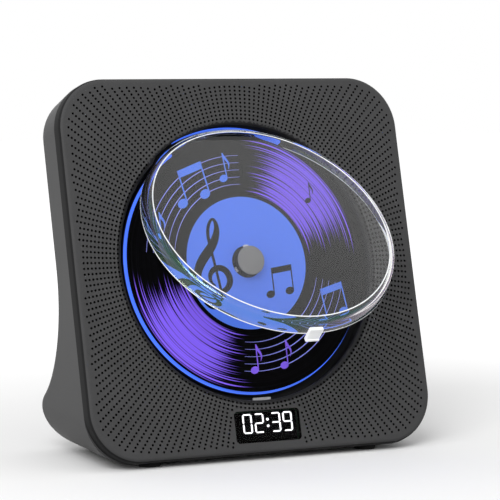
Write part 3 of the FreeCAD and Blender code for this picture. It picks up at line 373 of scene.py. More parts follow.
def joined(name, meshes, matrix):
    # One closed skin from overlapping pieces
    base = place(name, meshes[0], matrix)
    tools = []
    for k, mesh in enumerate(meshes[1:]):
        tool = place(name + "_tool_" + str(k), mesh, matrix)
        step = base.modifiers.new("join_" + str(k), "BOOLEAN")
        step.operation = "UNION"
        step.solver = "EXACT"
        step.object = tool
        tools.append(tool)
    state = bpy.context.evaluated_depsgraph_get()
    whole = bpy.data.meshes.new_from_object(base.evaluated_get(state))
    base.modifiers.clear()
    base.data = soften(whole)
    for tool in tools:
        bpy.data.objects.remove(tool)
    return base


# Materials

def new_material(name):
    material = bpy.data.materials.new(name)
    material.use_nodes = True
    tree = material.node_tree
    return material, tree, tree.nodes["Principled BSDF"]


def add(tree, kind, **values):
    node = tree.nodes.new(kind)
    for key, value in values.items():
        setattr(node, key, value)
    return node


def maths(tree, operation, a, b=None, c=None):
    node = add(tree, "ShaderNodeMath", operation=operation)
    for slot, value in zip(node.inputs, (a, b, c)):
        if value is None:
            continue
        if isinstance(value, (int, float)):
            slot.default_value = value
        else:
            tree.links.new(value, slot)
    return node.outputs[0]


def noise(tree, size, detail=2.0, stretch=(1.0, 1.0, 1.0)):
    # Noise whose features are about the given size in millimetres
    place_node = add(tree, "ShaderNodeTexCoord")
    mapping = add(tree, "ShaderNodeMapping")
    mapping.inputs["Scale"].default_value = stretch
    tree.links.new(place_node.outputs["Object"], mapping.inputs["Vector"])
    texture = add(tree, "ShaderNodeTexNoise")
    texture.inputs["Scale"].default_value = 1.0 / (size * MM)
    texture.inputs["Detail"].default_value = detail
    tree.links.new(mapping.outputs["Vector"], texture.inputs["Vector"])
    return texture.outputs["Fac"]


def ramp(tree, value, stops):
    node = add(tree, "ShaderNodeValToRGB")
    elements = node.color_ramp.elements
    while len(elements) < len(stops):
        elements.new(0.5)
    for element, (place_at, colour) in zip(elements, stops):
        element.position = place_at
        element.color = (*colour, 1.0)
    tree.links.new(value, node.inputs["Fac"])
    return node.outputs["Color"]


def span(tree, value, low, high):
    node = add(tree, "ShaderNodeMapRange")
    node.inputs["To Min"].default_value = low
    node.inputs["To Max"].default_value = high
    tree.links.new(value, node.inputs["Value"])
    return node.outputs["Result"]


def bump(tree, shader, height, depth, strength=1.0):
    node = add(tree, "ShaderNodeBump")
    node.inputs["Distance"].default_value = depth * MM
    node.inputs["Strength"].default_value = strength
    tree.links.new(height, node.inputs["Height"])
    tree.links.new(node.outputs["Normal"], shader.inputs["Normal"])


def shade(colour, factor):
    return tuple(min(1.0, c * factor) for c in colour)


def moulded(name, colour, roughness=0.5, grain=0.3, contrast=0.12, depth=0.01, metallic=0.0,
            specular=0.5):
    # Moulded plastic or plain metal with a fine grain in its tone, gloss and surface
    material, tree, shader = new_material(name)
    fine = noise(tree, grain, 3.0)
    broad = noise(tree, grain * broad_grain, 2.0)
    mixed = maths(tree, "ADD", maths(tree, "MULTIPLY", fine, fine_share),
                  maths(tree, "MULTIPLY", broad, 1.0 - fine_share))
    low, high = shade(colour, 1.0 - contrast), shade(colour, 1.0 + contrast)
    tree.links.new(ramp(tree, mixed, ((0.25, low), (0.75, high))), shader.inputs["Base Color"])
    gloss = span(tree, mixed, roughness - gloss_spread, roughness + gloss_spread)
    tree.links.new(gloss, shader.inputs["Roughness"])
    shader.inputs["Metallic"].default_value = metallic
    shader.inputs["Specular IOR Level"].default_value = specular
    bump(tree, shader, fine, depth)
    return material


def glowing(name, colour, strength, unevenness=0.08):
    # Lit diffuser: its brightness drifts a little along its length
    material, tree, shader = new_material(name)
    drift = noise(tree, 9.0, 1.0)
    tone = ramp(tree, drift, ((0.3, shade(colour, 1.0 - unevenness)), (0.7, colour)))
    tree.links.new(tone, shader.inputs["Base Color"])
    tree.links.new(tone, shader.inputs["Emission Color"])
    shader.inputs["Emission Strength"].default_value = strength
    shader.inputs["Roughness"].default_value = 0.5
    return material


def clear(name, colour, roughness, refraction=1.49):
    material, tree, shader = new_material(name)
    haze = noise(tree, 14.0, 2.0)
    tone = ramp(tree, haze, ((0.3, shade(colour, 0.985)), (0.7, colour)))
    tree.links.new(tone, shader.inputs["Base Color"])
    shader.inputs["Roughness"].default_value = roughness
    shader.inputs["Transmission Weight"].default_value = 1.0
    shader.inputs["IOR"].default_value = refraction
    return material


def along(tree, matrix, axis):
    # Distance in millimetres from the origin of a frame along one of its axes
    place_node = add(tree, "ShaderNodeTexCoord")
    shift = add(tree, "ShaderNodeVectorMath", operation="SUBTRACT")
    tree.links.new(place_node.outputs["Object"], shift.inputs[0])
    shift.inputs[1].default_value = matrix.translation
    dot = add(tree, "ShaderNodeVectorMath", operation="DOT_PRODUCT")
    tree.links.new(shift.outputs["Vector"], dot.inputs[0])
    dot.inputs[1].default_value = matrix.to_3x3().col[axis] / MM
    return dot.outputs["Value"]


def polar(tree, matrix=PANEL):
    # Radius in millimetres and angle in radians about the axis of a frame
    x, y = along(tree, matrix, 0), along(tree, matrix, 1)
    squares = maths(tree, "ADD", maths(tree, "MULTIPLY", x, x), maths(tree, "MULTIPLY", y, y))
    return maths(tree, "SQRT", squares), maths(tree, "ARCTAN2", y, x)


def ring_glow(name, edge, level):
    # Blue diffuser that is lit on its front face and masked round its outer edge
    material, tree, shader = new_material(name)
    radius, angle = polar(tree)
    drift = add(tree, "ShaderNodeTexNoise", noise_dimensions="1D")
    drift.inputs["Scale"].default_value = 2.5
    tree.links.new(angle, drift.inputs["W"])
    inside = step_between(tree, radius, edge + glow_edge_blur, edge - glow_edge_blur)
    front = step_between(tree, along(tree, PANEL, 2), level - glow_level_blur, level)
    lit = maths(tree, "MULTIPLY", maths(tree, "MULTIPLY", inside, front),
                span(tree, drift.outputs["Fac"], 0.8, 1.1))
    tree.links.new(lit, shader.inputs["Emission Strength"])
    shader.inputs["Emission Color"].default_value = (*ring_tone, 1.0)
    tone = ramp(tree, lit, ((0.0, ring_dark), (1.0, ring_tone)))
    tree.links.new(tone, shader.inputs["Base Color"])
    shader.inputs["Roughness"].default_value = 0.5
    shader.inputs["Specular IOR Level"].default_value = 0.1
    return material


def rainbow_edge(material, matrix, start, end, film):
    # A thin film that shows in the gloss of the rim alone
    tree = material.node_tree
    shader = tree.nodes["Principled BSDF"]
    radius, _ = polar(tree, matrix)
    amount = maths(tree, "MULTIPLY", step_between(tree, radius, start, end), film)
    tree.links.new(amount, shader.inputs["Thin Film Thickness"])
    shader.inputs["Thin Film IOR"].default_value = 1.5
    return material


def line_noise(tree, radius, pitch):
    texture = add(tree, "ShaderNodeTexNoise", noise_dimensions="1D")
    texture.inputs["Scale"].default_value = 1.0 / pitch
    texture.inputs["Detail"].default_value = 1.0
    tree.links.new(radius, texture.inputs["W"])
    return texture.outputs["Fac"]


def step_between(tree, value, low, high):
    node = add(tree, "ShaderNodeMapRange", interpolation_type="SMOOTHSTEP")
    node.inputs["From Min"].default_value = low
    node.inputs["From Max"].default_value = high
    tree.links.new(value, node.inputs["Value"])
    return node.outputs["Result"]


def record_print():
    # Black print with fine rings, and two opposite violet wedges whose edges follow the rings
    material, tree, shader = new_material("disc_record_print")
    radius, angle = polar(tree)
    from_wedge = maths(tree, "SUBTRACT", angle, math.radians(sheen_turn))
    facing = maths(tree, "COSINE", maths(tree, "MULTIPLY", from_wedge, 2.0))
    lines = line_noise(tree, radius, groove_pitch)
    ragged = maths(tree, "MULTIPLY", maths(tree, "SUBTRACT", lines, 0.5), sheen_ragged)
    wedge = step_between(tree, maths(tree, "ADD", facing, ragged), wedge_start, wedge_end)
    inside = step_between(tree, radius, sheen_inner - sheen_blur, sheen_inner + sheen_blur)
    outside = step_between(tree, radius, sheen_outer + sheen_blur, sheen_outer - sheen_blur)
    amount = maths(tree, "MULTIPLY", wedge, maths(tree, "MULTIPLY", inside, outside))
    mix = add(tree, "ShaderNodeMix", data_type="RGBA")
    tree.links.new(amount, mix.inputs["Factor"])
    dark = ramp(tree, lines, ((0.35, (0.0003, 0.0003, 0.0004)), (0.75, (0.0022, 0.0022, 0.003))))
    violet = ramp(tree, lines, ((0.3, shade(sheen_tone, 0.8)), (0.7, sheen_tone)))
    tree.links.new(dark, mix.inputs["A"])
    tree.links.new(violet, mix.inputs["B"])
    tree.links.new(mix.outputs["Result"], shader.inputs["Base Color"])
    shader.inputs["Roughness"].default_value = 0.45
    shader.inputs["Specular IOR Level"].default_value = 0.02
    bump(tree, shader, lines, 0.01, 0.4)
    return material


MATERIALS = {
    "panel_plastic": moulded("panel_satin", (0.058, 0.058, 0.059), roughness=0.6, grain=0.28,
                             contrast=0.2, depth=0.014, specular=0.15),
    "housing_plastic": moulded("housing_satin", (0.066, 0.066, 0.067), roughness=0.45, grain=0.35,
                               contrast=0.05, depth=0.003, specular=0.09),
    "well_plastic": moulded("well_black", (0.012, 0.012, 0.013), roughness=0.6, grain=0.4,
                            contrast=0.1, depth=0.003, specular=0.1),
    "clear_acrylic": rainbow_edge(clear("cover_acrylic", (0.985, 0.988, 0.99), roughness=0.0,
                                        refraction=1.4),
                                  cover_frame(), rim_start, rim_end, rim_film),
    "blue_light": ring_glow("ring_glow", ring_edge, ring_level),
    "disc_print": record_print(),
    "dark_plastic": moulded("dark_plastic", (0.008, 0.008, 0.009), roughness=0.5, grain=0.5,
                            contrast=0.12, depth=0.01, specular=0.1),
    "grey_plastic": moulded("grey_plastic", (0.23, 0.23, 0.235), roughness=0.45, grain=0.4,
                            contrast=0.06, depth=0.004, specular=0.2),
    "white_plastic": moulded("white_plastic", (0.72, 0.72, 0.7), roughness=0.4, grain=0.4,
                             contrast=0.04),
    "key_plastic": moulded("key_satin", (0.1, 0.1, 0.102), roughness=0.35, grain=0.35,
                           contrast=0.08, depth=0.01, specular=0.3),
    "steel": moulded("bright_steel", (0.62, 0.62, 0.63), roughness=0.28, grain=0.5, contrast=0.08,
                     depth=0.002, metallic=1.0),
    "circuit_board": moulded("circuit_board", (0.02, 0.11, 0.045), roughness=0.4, grain=1.2,
                             contrast=0.25),
    "rubber": moulded("rubber", (0.014, 0.014, 0.014), roughness=0.75, grain=0.4, contrast=0.2,
                      depth=0.02, specular=0.2),
    "lens_glass": clear("pickup_glass", (0.8, 0.86, 0.95), roughness=0.02, refraction=1.52),
    "smoked_window": clear("smoked_window", (0.5, 0.5, 0.51), roughness=0.0, refraction=1.12),
    "white_light": glowing("figure_glow", (1.0, 1.0, 1.0), strength=3.2, unevenness=0.03),
    "paper_cone": moulded("paper_cone", (0.012, 0.012, 0.011), roughness=0.85, grain=0.8,
                          contrast=0.3, depth=0.05, specular=0.1),
    "magnet_iron": moulded("magnet_iron", (0.2, 0.2, 0.21), roughness=0.45, grain=0.6,
                           contrast=0.15, depth=0.01, metallic=1.0),
}
EXTRA = {
    # Panel edge and skirt: the panel's grey made darker, painted shade
    "band_shade": moulded("panel_band_shade", (0.02, 0.02, 0.0205), roughness=0.5, grain=0.3, contrast=0.1,
                    depth=0.004, specular=0.05),
    # Walls of the holes and back of the plate: near-black instead of the panel's grey, painted
    # shade
    "hole": moulded("perforation_wall_shade", (0.006, 0.006, 0.006), roughness=0.8, grain=0.3,
                    contrast=0.2, depth=0.01, specular=0.0),
    # Rounded lip and wall of the opening: near-black instead of the panel's grey, painted shade;
    # the lip's slope is real
    "lip": moulded("opening_lip", (0.016, 0.016, 0.017), roughness=0.6, grain=0.3, contrast=0.15,
                   depth=0.008, specular=0.15),
    "label": moulded("label_blue", (0.1, 0.23, 0.95), roughness=0.5, grain=0.6, contrast=0.05,
                     depth=0.002, specular=0.05),
    "ink_dark": moulded("ink_dark", (0.001, 0.001, 0.002), roughness=0.5, grain=0.6, contrast=0.1,
                        depth=0.002, specular=0.02),
    "ink_blue": moulded("ink_blue", (0.1, 0.24, 0.95), roughness=0.5, grain=0.6, contrast=0.06,
                        depth=0.002, specular=0.05),
    "ink_lilac": moulded("ink_lilac", (0.3, 0.33, 0.95), roughness=0.5, grain=0.6, contrast=0.06,
                         depth=0.002, specular=0.05),
    "ink_violet": moulded("ink_violet", (0.25, 0.13, 0.9), roughness=0.5, grain=0.6, contrast=0.06,
                          depth=0.002, specular=0.05),
    "hub": moulded("hub_satin", (0.215, 0.215, 0.22), roughness=0.5, grain=0.4, contrast=0.05,
                   depth=0.003, specular=0.2),
    # The cap's side: a near-black copy of the hub's grey, painted shade
    "hub_side_shade": moulded("hub_shade", (0.006, 0.006, 0.007), roughness=0.6, grain=0.4, contrast=0.1,
                        depth=0.003, specular=0.05),
    "bridge": ring_glow("bridge_glow", bridge_edge, bridge_level),
    "catch": moulded("catch_satin", (0.3, 0.3, 0.31), roughness=0.4, grain=0.4, contrast=0.05,
                     depth=0.003, specular=0.3),
    "mask": moulded("display_mask", (0.0012, 0.0012, 0.0013), roughness=0.8, grain=0.4,
                    contrast=0.1, depth=0.002, specular=0.0),
    # White, faintly glowing pieces on the cover: painted highlight
    "painted_highlight": moulded("painted_highlight_acrylic", (0.86, 0.87, 0.87), roughness=0.35, grain=0.5,
                       contrast=0.03, depth=0.004, specular=0.5),
}


def painted_glow(material, strength):
    # Edges of clear plastic carry light from its faces
    # Painted glow: the white pieces on the cover's edges shine with their own light, standing in
    # for light that clear plastic carries to its edges
    shader = material.node_tree.nodes["Principled BSDF"]
    shader.inputs["Transmission Weight"].default_value = 0.3
    shader.inputs["Emission Color"].default_value = (1.0, 1.0, 1.0, 1.0)
    shader.inputs["Emission Strength"].default_value = strength


painted_glow(EXTRA["painted_highlight"], painted_highlight_glow)


def dress(piece, *materials):
    if len(piece.data.materials):
        piece.data.materials.clear()
    for material in materials:
        piece.data.materials.append(material)


# CAD nodes that keep their shape

def dress_nodes():
    for part in frame["record"]["subparts"]:
        node = frame["nodes"][part["node"]]
        dress(node, MATERIALS[part["material_slot"]])
        node.data.polygons.foreach_set("use_smooth", [True] * len(node.data.polygons))
        weld = node.modifiers.new("weld", "WELD")
        weld.merge_threshold = weld_distance
        break_edges(node)
    dress(frame["nodes"]["cover_catch"], EXTRA["catch"])
    dress(frame["nodes"]["display_module"], EXTRA["mask"])
    dress(frame["nodes"]["light_bridge"], EXTRA["bridge"])


def break_edges(piece):
    edge = piece.modifiers.new("edge", "BEVEL")
    edge.width = edge_bevel * MM
    edge.segments = 2
    edge.limit_method = "ANGLE"
    edge.angle_limit = math.radians(sharp_angle)
    edge.harden_normals = True


# Rear housing with its back edges rounded over

def rear_shell():
    form = bmesh.new()
    form.from_mesh(frame["nodes"]["rear_housing"].data)
    bmesh.ops.remove_doubles(form, verts=form.verts, dist=weld_distance)
    bmesh.ops.dissolve_limit(form, angle_limit=math.radians(rear_flat_angle), verts=form.verts,
                             edges=form.edges)
    to_panel = PANEL.inverted()
    edges = [edge for edge in form.edges if on_back_edge(edge, to_panel)]
    bmesh.ops.bevel(form, geom=edges, offset=rear_round * MM, segments=rear_segments, profile=0.5,
                    affect="EDGES", loop_slide=False)
    mesh = bpy.data.meshes.new("rear_shell")
    form.to_mesh(mesh)
    form.free()
    piece = place("rear_shell", soften(mesh), Matrix.Identity(4))
    break_edges(piece)
    even = piece.modifiers.new("even", "WEIGHTED_NORMAL")
    even.keep_sharp = True
    dress(piece, MATERIALS["housing_plastic"])
    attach(piece, "case")
    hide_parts("rear_housing")


def on_back_edge(edge, to_panel):
    # An outer edge where the back meets a side or the top, clear of the screw holes
    if len(edge.link_faces) != 2 or not edge.is_convex:
        return False
    if edge.calc_face_angle() < math.radians(rear_edge_angle):
        return False
    out = PANEL.to_3x3().col[2]
    rearward = sorted(-face.normal.dot(out) for face in edge.link_faces)
    if rearward[0] > rear_slope or rearward[1] < rear_slope:
        return False
    spot = to_panel @ ((edge.verts[0].co + edge.verts[1].co) / 2.0) / MM
    across, up = abs(spot.x), spot.y + well_rise
    near_screw = min(math.hypot(across - x, up - y) for x, y in screw_spots) < screw_room
    return -spot.z > rear_depth and (across > rear_side or up > rear_top) and not near_screw


# Front panel with its perforation

def hole_spots():
    half = panel_side / 2.0 - grille_margin
    corner = panel_corner - grille_margin
    spots = []
    for ray in range(ray_count):
        a = 2.0 * math.pi * ray / ray_count
        for ring in range(ring_count):
            radius = first_ring + ring * ring_pitch
            x, y = radius * math.cos(a), radius * math.sin(a)
            on_slope = ring == 0 and in_recess(a)
            off_plate = not in_rounded_square(x, y + well_rise, half, corner)
            if not (off_plate or on_slope or near_window(x, y + well_rise)):
                spots.append((x, y, a))
    return spots


def in_rounded_square(x, y, half, corner):
    over_x = max(abs(x) - (half - corner), 0.0)
    over_y = max(abs(y) - (half - corner), 0.0)
    return math.hypot(over_x, over_y) <= corner


def near_window(x, y):
    reach_x = window_width / 2.0 + window_side_margin
    reach_y = window_height / 2.0 + window_top_margin
    return abs(x) < reach_x and y < reach_y - window_drop


def from_top(angle):
    # Degrees between a direction and straight up
    turn = math.degrees(angle) - 90.0
    return abs((turn + 180.0) % 360.0 - 180.0)


def in_recess(angle):
    return from_top(angle) < recess_turn + recess_blend


def edge_radius(angle):
    # The opening is a little wider at the top, where the cover's arms swing
    t = min(max((recess_turn - from_top(angle)) / recess_blend, 0.0), 1.0)
    return opening_radius + (recess_radius - opening_radius) * t * t * (3.0 - 2.0 * t)


def lip_outline(share):
    # Ring on the rounded lip: share is 0 at the opening's edge and 1 on the flat face
    points = []
    for k in range(lip_points):
        a = 2.0 * math.pi * k / lip_points
        radius = edge_radius(a) + (lip_radius - edge_radius(a)) * share
        points.append((radius * math.cos(a), radius * math.sin(a)))
    return points


def lip_drop(share):
    return -lip_depth * (1.0 - math.cos(math.asin(1.0 - share)))


def lip_level(x, y):
    # Height of the front face near the opening
    edge = edge_radius(math.atan2(y, x))
    share = min(max((math.hypot(x, y) - edge) / (lip_radius - edge), 0.0), 1.0)
    return lip_drop(share)


def panel_outline(inset):
    half = panel_side / 2.0 - inset
    return rounded_rectangle(half, half, panel_corner - inset, corner_points, -well_rise)


def window_outline():
    return rounded_rectangle(window_width / 2.0, window_height / 2.0, window_corner, window_points,
                             -well_rise - window_drop)


class Skin:
    # Points and faces of one mesh, with the material of each face
    def __init__(self):
        self.points = []
        self.faces = []
        self.parts = []

    def loop(self, outline, height):
        first = len(self.points)
        self.points += [(x, y, height) for x, y in outline]
        return list(range(first, first + len(outline)))

    def face(self, corners, part):
        self.faces.append(corners)
        self.parts.append(part)

    def wall(self, near, far, part):
        for k in range(len(near)):
            n = (k + 1) % len(near)
            self.face([near[k], near[n], far[n], far[k]], part)

    def slab(self, outline, top, bottom):
        near = self.loop(outline, top)
        far = self.loop(outline, bottom)
        self.face(near, 0)
        self.face(far[::-1], 0)
        self.wall(far, near, 0)


def plate_faces(skin, loops, holes, part, back):
    # Fills the plate between its loops, and leaves out what lies inside one of the holes
    flat, edges, owner = [], [], {}
    for number, loop in enumerate(loops):
        first = len(flat)
        flat += [Vector(skin.points[k][:2]) for k in loop]
        edges += [(first + k, first + (k + 1) % len(loop)) for k in range(len(loop))]
        owner.update({first + k: (number, at) for k, at in enumerate(loop)})
    corners, _, faces, sources, _, _ = delaunay_2d_cdt(flat, edges, [], 1, 1e-6)
    for face in faces:
        spots = [owner[sources[k][0]] for k in face]
        numbers = {number for number, _ in spots}
        if len(numbers) == 1 and numbers <= holes:
            continue
        order = [at for _, at in spots]
        middle = sum((corners[k] for k in face), Vector((0.0, 0.0))) / len(face)
        # Front faces near the opening take the lip's near-black, painted shade
        dark = not back and middle.length < lip_dark
        skin.face(order[::-1] if back else order, LIP_SHADE if dark else part)


def panel_rim(skin, front, back):
    # Rounded outer edge, its skirt, and the inside of the skirt. The outer part of the edge and the
    # skirt take a darker copy of the face's grey, painted shade
    outer = skin.loop(panel_outline(panel_edge_round), 0.0)
    front.append(outer)
    for k in range(1, edge_steps + 1):
        t = math.radians(90.0 / edge_steps * k)
        inset = panel_edge_round * (1.0 - math.sin(t))
        ring = skin.loop(panel_outline(inset), -panel_edge_round * (1.0 - math.cos(t)))
        skin.wall(ring, outer, FACE if k < band_step else BAND_SHADE)
        outer = ring
    rim = skin.loop(panel_outline(0.0), -panel_skirt)
    skin.wall(rim, outer, BAND_SHADE)
    inner_rim = skin.loop(panel_outline(panel_wall), -panel_skirt)
    skin.wall(inner_rim, rim, BAND_SHADE)
    back_edge = skin.loop(panel_outline(panel_wall), -panel_plate)
    skin.wall(back_edge, inner_rim, BAND_SHADE)
    back.append(back_edge)


def panel_opening(skin, front, back):
    # Rings of the rounded lip, from the flat face to the edge, then the edge's wall
    front.append(skin.loop(lip_outline(1.0), 0.0))
    for share in lip_steps:
        front.append(skin.loop(lip_outline(share), lip_drop(share)))
    foot = skin.loop(lip_outline(0.0), -panel_plate)
    # The opening's wall takes the lip's near-black, painted shade
    skin.wall(front[-1], foot, LIP_SHADE)
    back.append(foot)


def grille_panel():
    skin = Skin()
    front, back = [], []
    panel_rim(skin, front, back)
    panel_opening(skin, front, back)
    first_hole, first_back_hole = len(front) - 1, len(back) - 1
    cut_holes(skin, front, back)
    plate_faces(skin, front, set(range(first_hole, len(front))), FACE, False)
    # The plate's back, seen through the holes, is near-black: painted shade
    plate_faces(skin, back, set(range(first_back_hole, len(back))), HOLE_SHADE, True)
    mesh = mesh_from("grille_panel", skin.points, skin.faces, skin.parts)
    panel = place("grille_panel", mesh)
    dress(panel, MATERIALS["panel_plastic"], EXTRA["band_shade"], EXTRA["hole"], EXTRA["lip"])
    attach(panel, "case")
    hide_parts("front_panel")


def cut_holes(skin, front, back):
    outlines = [window_outline()]
    for x, y, turn in hole_spots():
        outlines.append(circle(hole_radius, hole_sides, x, y, math.degrees(turn)))
    for outline in outlines:
        near = skin.loop(outline, 0.0)
        for k in near:
            x, y, _ = skin.points[k]
            skin.points[k] = (x, y, lip_level(x, y))
        far = skin.loop(outline, -panel_plate)
        # Hole walls are near-black: painted shade
        skin.wall(near, far, HOLE_SHADE)
        front.append(near)
        back.append(far)


# Disc and its print

def disc():
    top, low = -disc_depth, -disc_depth - disc_thickness
    profile = [(disc_hole, top), (disc_radius - disc_edge, top), (disc_radius, top - disc_edge),
               (disc_radius, low + disc_edge), (disc_radius - disc_edge, low), (disc_hole, low)]
    piece = place("printed_disc", turned("printed_disc", profile, disc_points))
    dress(piece, MATERIALS["disc_print"])
    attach(piece, "disc")
    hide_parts("compact_disc")


def ink_ring(name, inner, outer, level, material):
    low = -disc_depth + level * ink_height
    high = low + ink_height
    profile = [(inner, high), (outer, high), (outer, low), (inner, low)]
    piece = place(name, turned(name, profile, label_points))
    dress(piece, material)
    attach(piece, "disc")


def stroke(points, widths):
    # Ink line of changing width along points in the disc's plane
    curve = bpy.data.curves.new("stroke", "CURVE")
    curve.dimensions = "3D"
    curve.bevel_depth = MM / 2.0
    curve.bevel_resolution = 1
    curve.use_fill_caps = True
    spline = curve.splines.new("NURBS")
    spline.points.add(len(points) - 1)
    for point, (x, y), width in zip(spline.points, points, widths):
        point.co = (x * MM, y * MM, 0.0, 1.0)
        point.radius = width
    spline.order_u = 4
    spline.use_endpoint_u = True
    spline.resolution_u = 8
    holder = bpy.data.objects.new("stroke", curve)
    bpy.context.scene.collection.objects.link(holder)
    state = bpy.context.evaluated_depsgraph_get()
    mesh = bpy.data.meshes.new_from_object(holder.evaluated_get(state))
    bpy.data.objects.remove(holder)
    return mesh


def patch(outline):
    # Flat ink shape
    skin = Skin()
    skin.slab(outline, 1.0, -1.0)
    return mesh_from("patch", skin.points, skin.faces)


def ink_piece(name, shapes, level, material):
    form = bmesh.new()
    for mesh in shapes:
        first = len(form.verts)
        form.from_mesh(mesh)
        form.verts.ensure_lookup_table()
        spread = max(abs(v.co.z) for v in form.verts[first:])
        for vert in form.verts[first:]:
            vert.co.z = (level * ink_height - disc_depth + ink_height * vert.co.z / spread) * MM
    mesh = bpy.data.meshes.new(name)
    form.to_mesh(mesh)
    form.free()
    piece = place(name, soften(mesh))
    dress(piece, material)
    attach(piece, "disc")


def on_disc(radius, degrees):
    a = math.radians(degrees)
    return radius * math.cos(a), radius * math.sin(a)


def moved(points, spot, turn, size):
    a = math.radians(turn)
    x0, y0 = spot
    return [(x0 + size * (math.cos(a) * x - math.sin(a) * y),
             y0 + size * (math.sin(a) * x + math.cos(a) * y)) for x, y in points]


# Notes are drawn one head wide, with the head's middle at the origin
head_tilt = 18.0
head_flat = 0.76
note_head = moved([(x, head_flat * y) for x, y in circle(0.5, 24)], (0.0, 0.0), head_tilt, 1.0)
note_stem = [(0.36, 0.0), (0.49, 0.0), (0.49, 2.7), (0.36, 2.7)]
note_flag = [(0.43, 2.68), (0.5, 2.2), (0.95, 1.75), (1.0, 1.3), (0.8, 0.9)]
flag_widths = [0.14, 0.34, 0.24, 0.16, 0.04]
pair_step = (2.25, 0.3)
pair_beam = [(0.36, 2.1), (2.74, 2.42), (2.74, 3.04), (0.36, 2.72)]


def single_note(spot, turn, size):
    shapes = [patch(moved(note_head, spot, turn, size))]
    shapes.append(patch(moved(note_stem, spot, turn, size)))
    shapes.append(stroke(moved(note_flag, spot, turn, size), [size * w for w in flag_widths]))
    return shapes


def note_pair(spot, turn, size):
    shapes = [patch(moved(pair_beam, spot, turn, size))]
    for start in (spot, moved([pair_step], spot, turn, size)[0]):
        shapes.append(patch(moved(note_head, start, turn, size)))
        shapes.append(patch(moved(note_stem, start, turn, size)))
    return shapes


def staff(start, end):
    # Lines round the disc that thin out at both ends
    shares = [k / staff_steps for k in range(staff_steps + 1)]
    swell = 1.0 - staff_thin
    widths = [staff_width * (staff_thin + swell * math.sin(math.pi * share)) for share in shares]
    lines = []
    for line in range(staff_lines):
        radius = staff_first + staff_pitch * line
        points = [on_disc(radius, start + (end - start) * share) for share in shares]
        lines.append(stroke(points, widths))
    return lines


# Treble sign, from the ball of its tail up the stem, round the loop and into the curl
clef_line = [(-0.6, -2.1), (-0.5, -2.5), (0.0, -2.65), (0.42, -2.2), (0.3, -1.0), (0.1, 0.4),
             (-0.12, 1.8), (-0.2, 2.6), (0.0, 3.3), (0.38, 3.7), (0.62, 3.1), (0.5, 2.4),
             (0.05, 1.6), (-0.7, 0.85), (-1.3, 0.0), (-1.35, -0.9), (-0.8, -1.55), (0.05, -1.75),
             (0.95, -1.45), (1.25, -0.7), (0.85, 0.05), (0.15, 0.15), (-0.45, -0.3), (-0.4, -0.95),
             (0.0, -1.15)]
clef_widths = [0.75, 0.3, 0.18, 0.2, 0.2, 0.2, 0.22, 0.26, 0.22, 0.16, 0.34, 0.52, 0.66, 0.72,
               0.62, 0.46, 0.34, 0.3, 0.4, 0.5, 0.46, 0.42, 0.34, 0.2, 0.08]
clef_spot = (-17.5, -3.0)
clef_size = 6.7

# Place, turn and size of each note, and the degrees that the two staffs run over
label_pair = ((10.5, -16.0), 0.0, 4.6)
small_note = (on_disc(46.0, 38.0), 0.0, 3.2)
upper_pair = (on_disc(41.0, 136.0), 12.0, 5.6)
upper_notes = ((on_disc(40.5, 100.0), 6.0, 4.4), (on_disc(46.0, 163.0), 0.0, 4.2))
lower_notes = ((on_disc(50.0, 268.0), 0.0, 4.4), (on_disc(50.5, 286.0), 0.0, 4.4))
right_pair = (on_disc(47.0, 322.0), 8.0, 5.2)
upper_staff = (88.0, 172.0)
lower_staff = (262.0, 346.0)


def single_notes(spots):
    return [shape for spot in spots for shape in single_note(*spot)]


def disc_print():
    ink_ring("disc_label", label_hole, label_radius, 0, EXTRA["label"])
    clef = stroke(moved(clef_line, clef_spot, 0.0, clef_size), [clef_size * w for w in clef_widths])
    ink_piece("disc_clef", [clef], 2, EXTRA["ink_dark"])
    ink_piece("disc_label_notes", note_pair(*label_pair), 2, EXTRA["ink_dark"])
    ink_piece("disc_small_note", single_note(*small_note), 2, EXTRA["ink_dark"])
    ink_piece("disc_staff_upper", staff(*upper_staff), 1, EXTRA["ink_lilac"])
    ink_piece("disc_staff_lower", staff(*lower_staff), 1, EXTRA["ink_lilac"])
    upper = note_pair(*upper_pair) + single_notes(upper_notes)
    ink_piece("disc_notes_upper", upper, 2, EXTRA["ink_blue"])
    ink_piece("disc_notes_lower", single_notes(lower_notes), 2, EXTRA["ink_violet"])
    ink_piece("disc_notes_right", note_pair(*right_pair), 2, EXTRA["ink_blue"])


def hub():
    edge = arc_points(cap_radius - cap_round, cap_top - cap_round, cap_round, 90, 0, 6)
    profile = [(0.0, cap_top)] + edge + [(cap_radius, -cap_back), (0.0, -cap_back)]
    mesh = turned("hub_button", profile, cap_points)
    # Faces below the top's rounded edge take the near-black side colour, painted shade
    for face in mesh.polygons:
        face.material_index = 0 if face.center.z > (cap_top - cap_round) * MM else 1
    piece = place("hub_button", mesh)
    dress(piece, EXTRA["hub"], EXTRA["hub_side_shade"])
    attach(piece, "disc")
    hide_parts("hub_cap")


# Dust cover

def dish_mesh():
    top = cover_base + cover_height
    shoulder = top - cover_round
    slim = cover_top_radius - cover_plate
    inner_top = top - cover_plate
    wall = cover_radius - cover_plate
    outer = arc_points(cover_top_radius - cover_round, shoulder, cover_round, 90, 0, 8)
    inner = arc_points(slim - cover_inner_round, inner_top - cover_inner_round, cover_inner_round,
                       0, 90, 6)
    profile = [(0.0, top)] + outer
    profile += [(cover_radius, cover_base + cover_foot)]
    profile += [(cover_radius - cover_foot_mid, cover_base + cover_foot_mid)]
    profile += [(cover_radius - cover_foot, cover_base), (wall + cover_lip_bevel, cover_base)]
    profile += [(wall, cover_base + cover_lip_slope * cover_lip_bevel)] + inner + [(0.0, inner_top)]
    return turned("cover_dish", profile, cover_points)


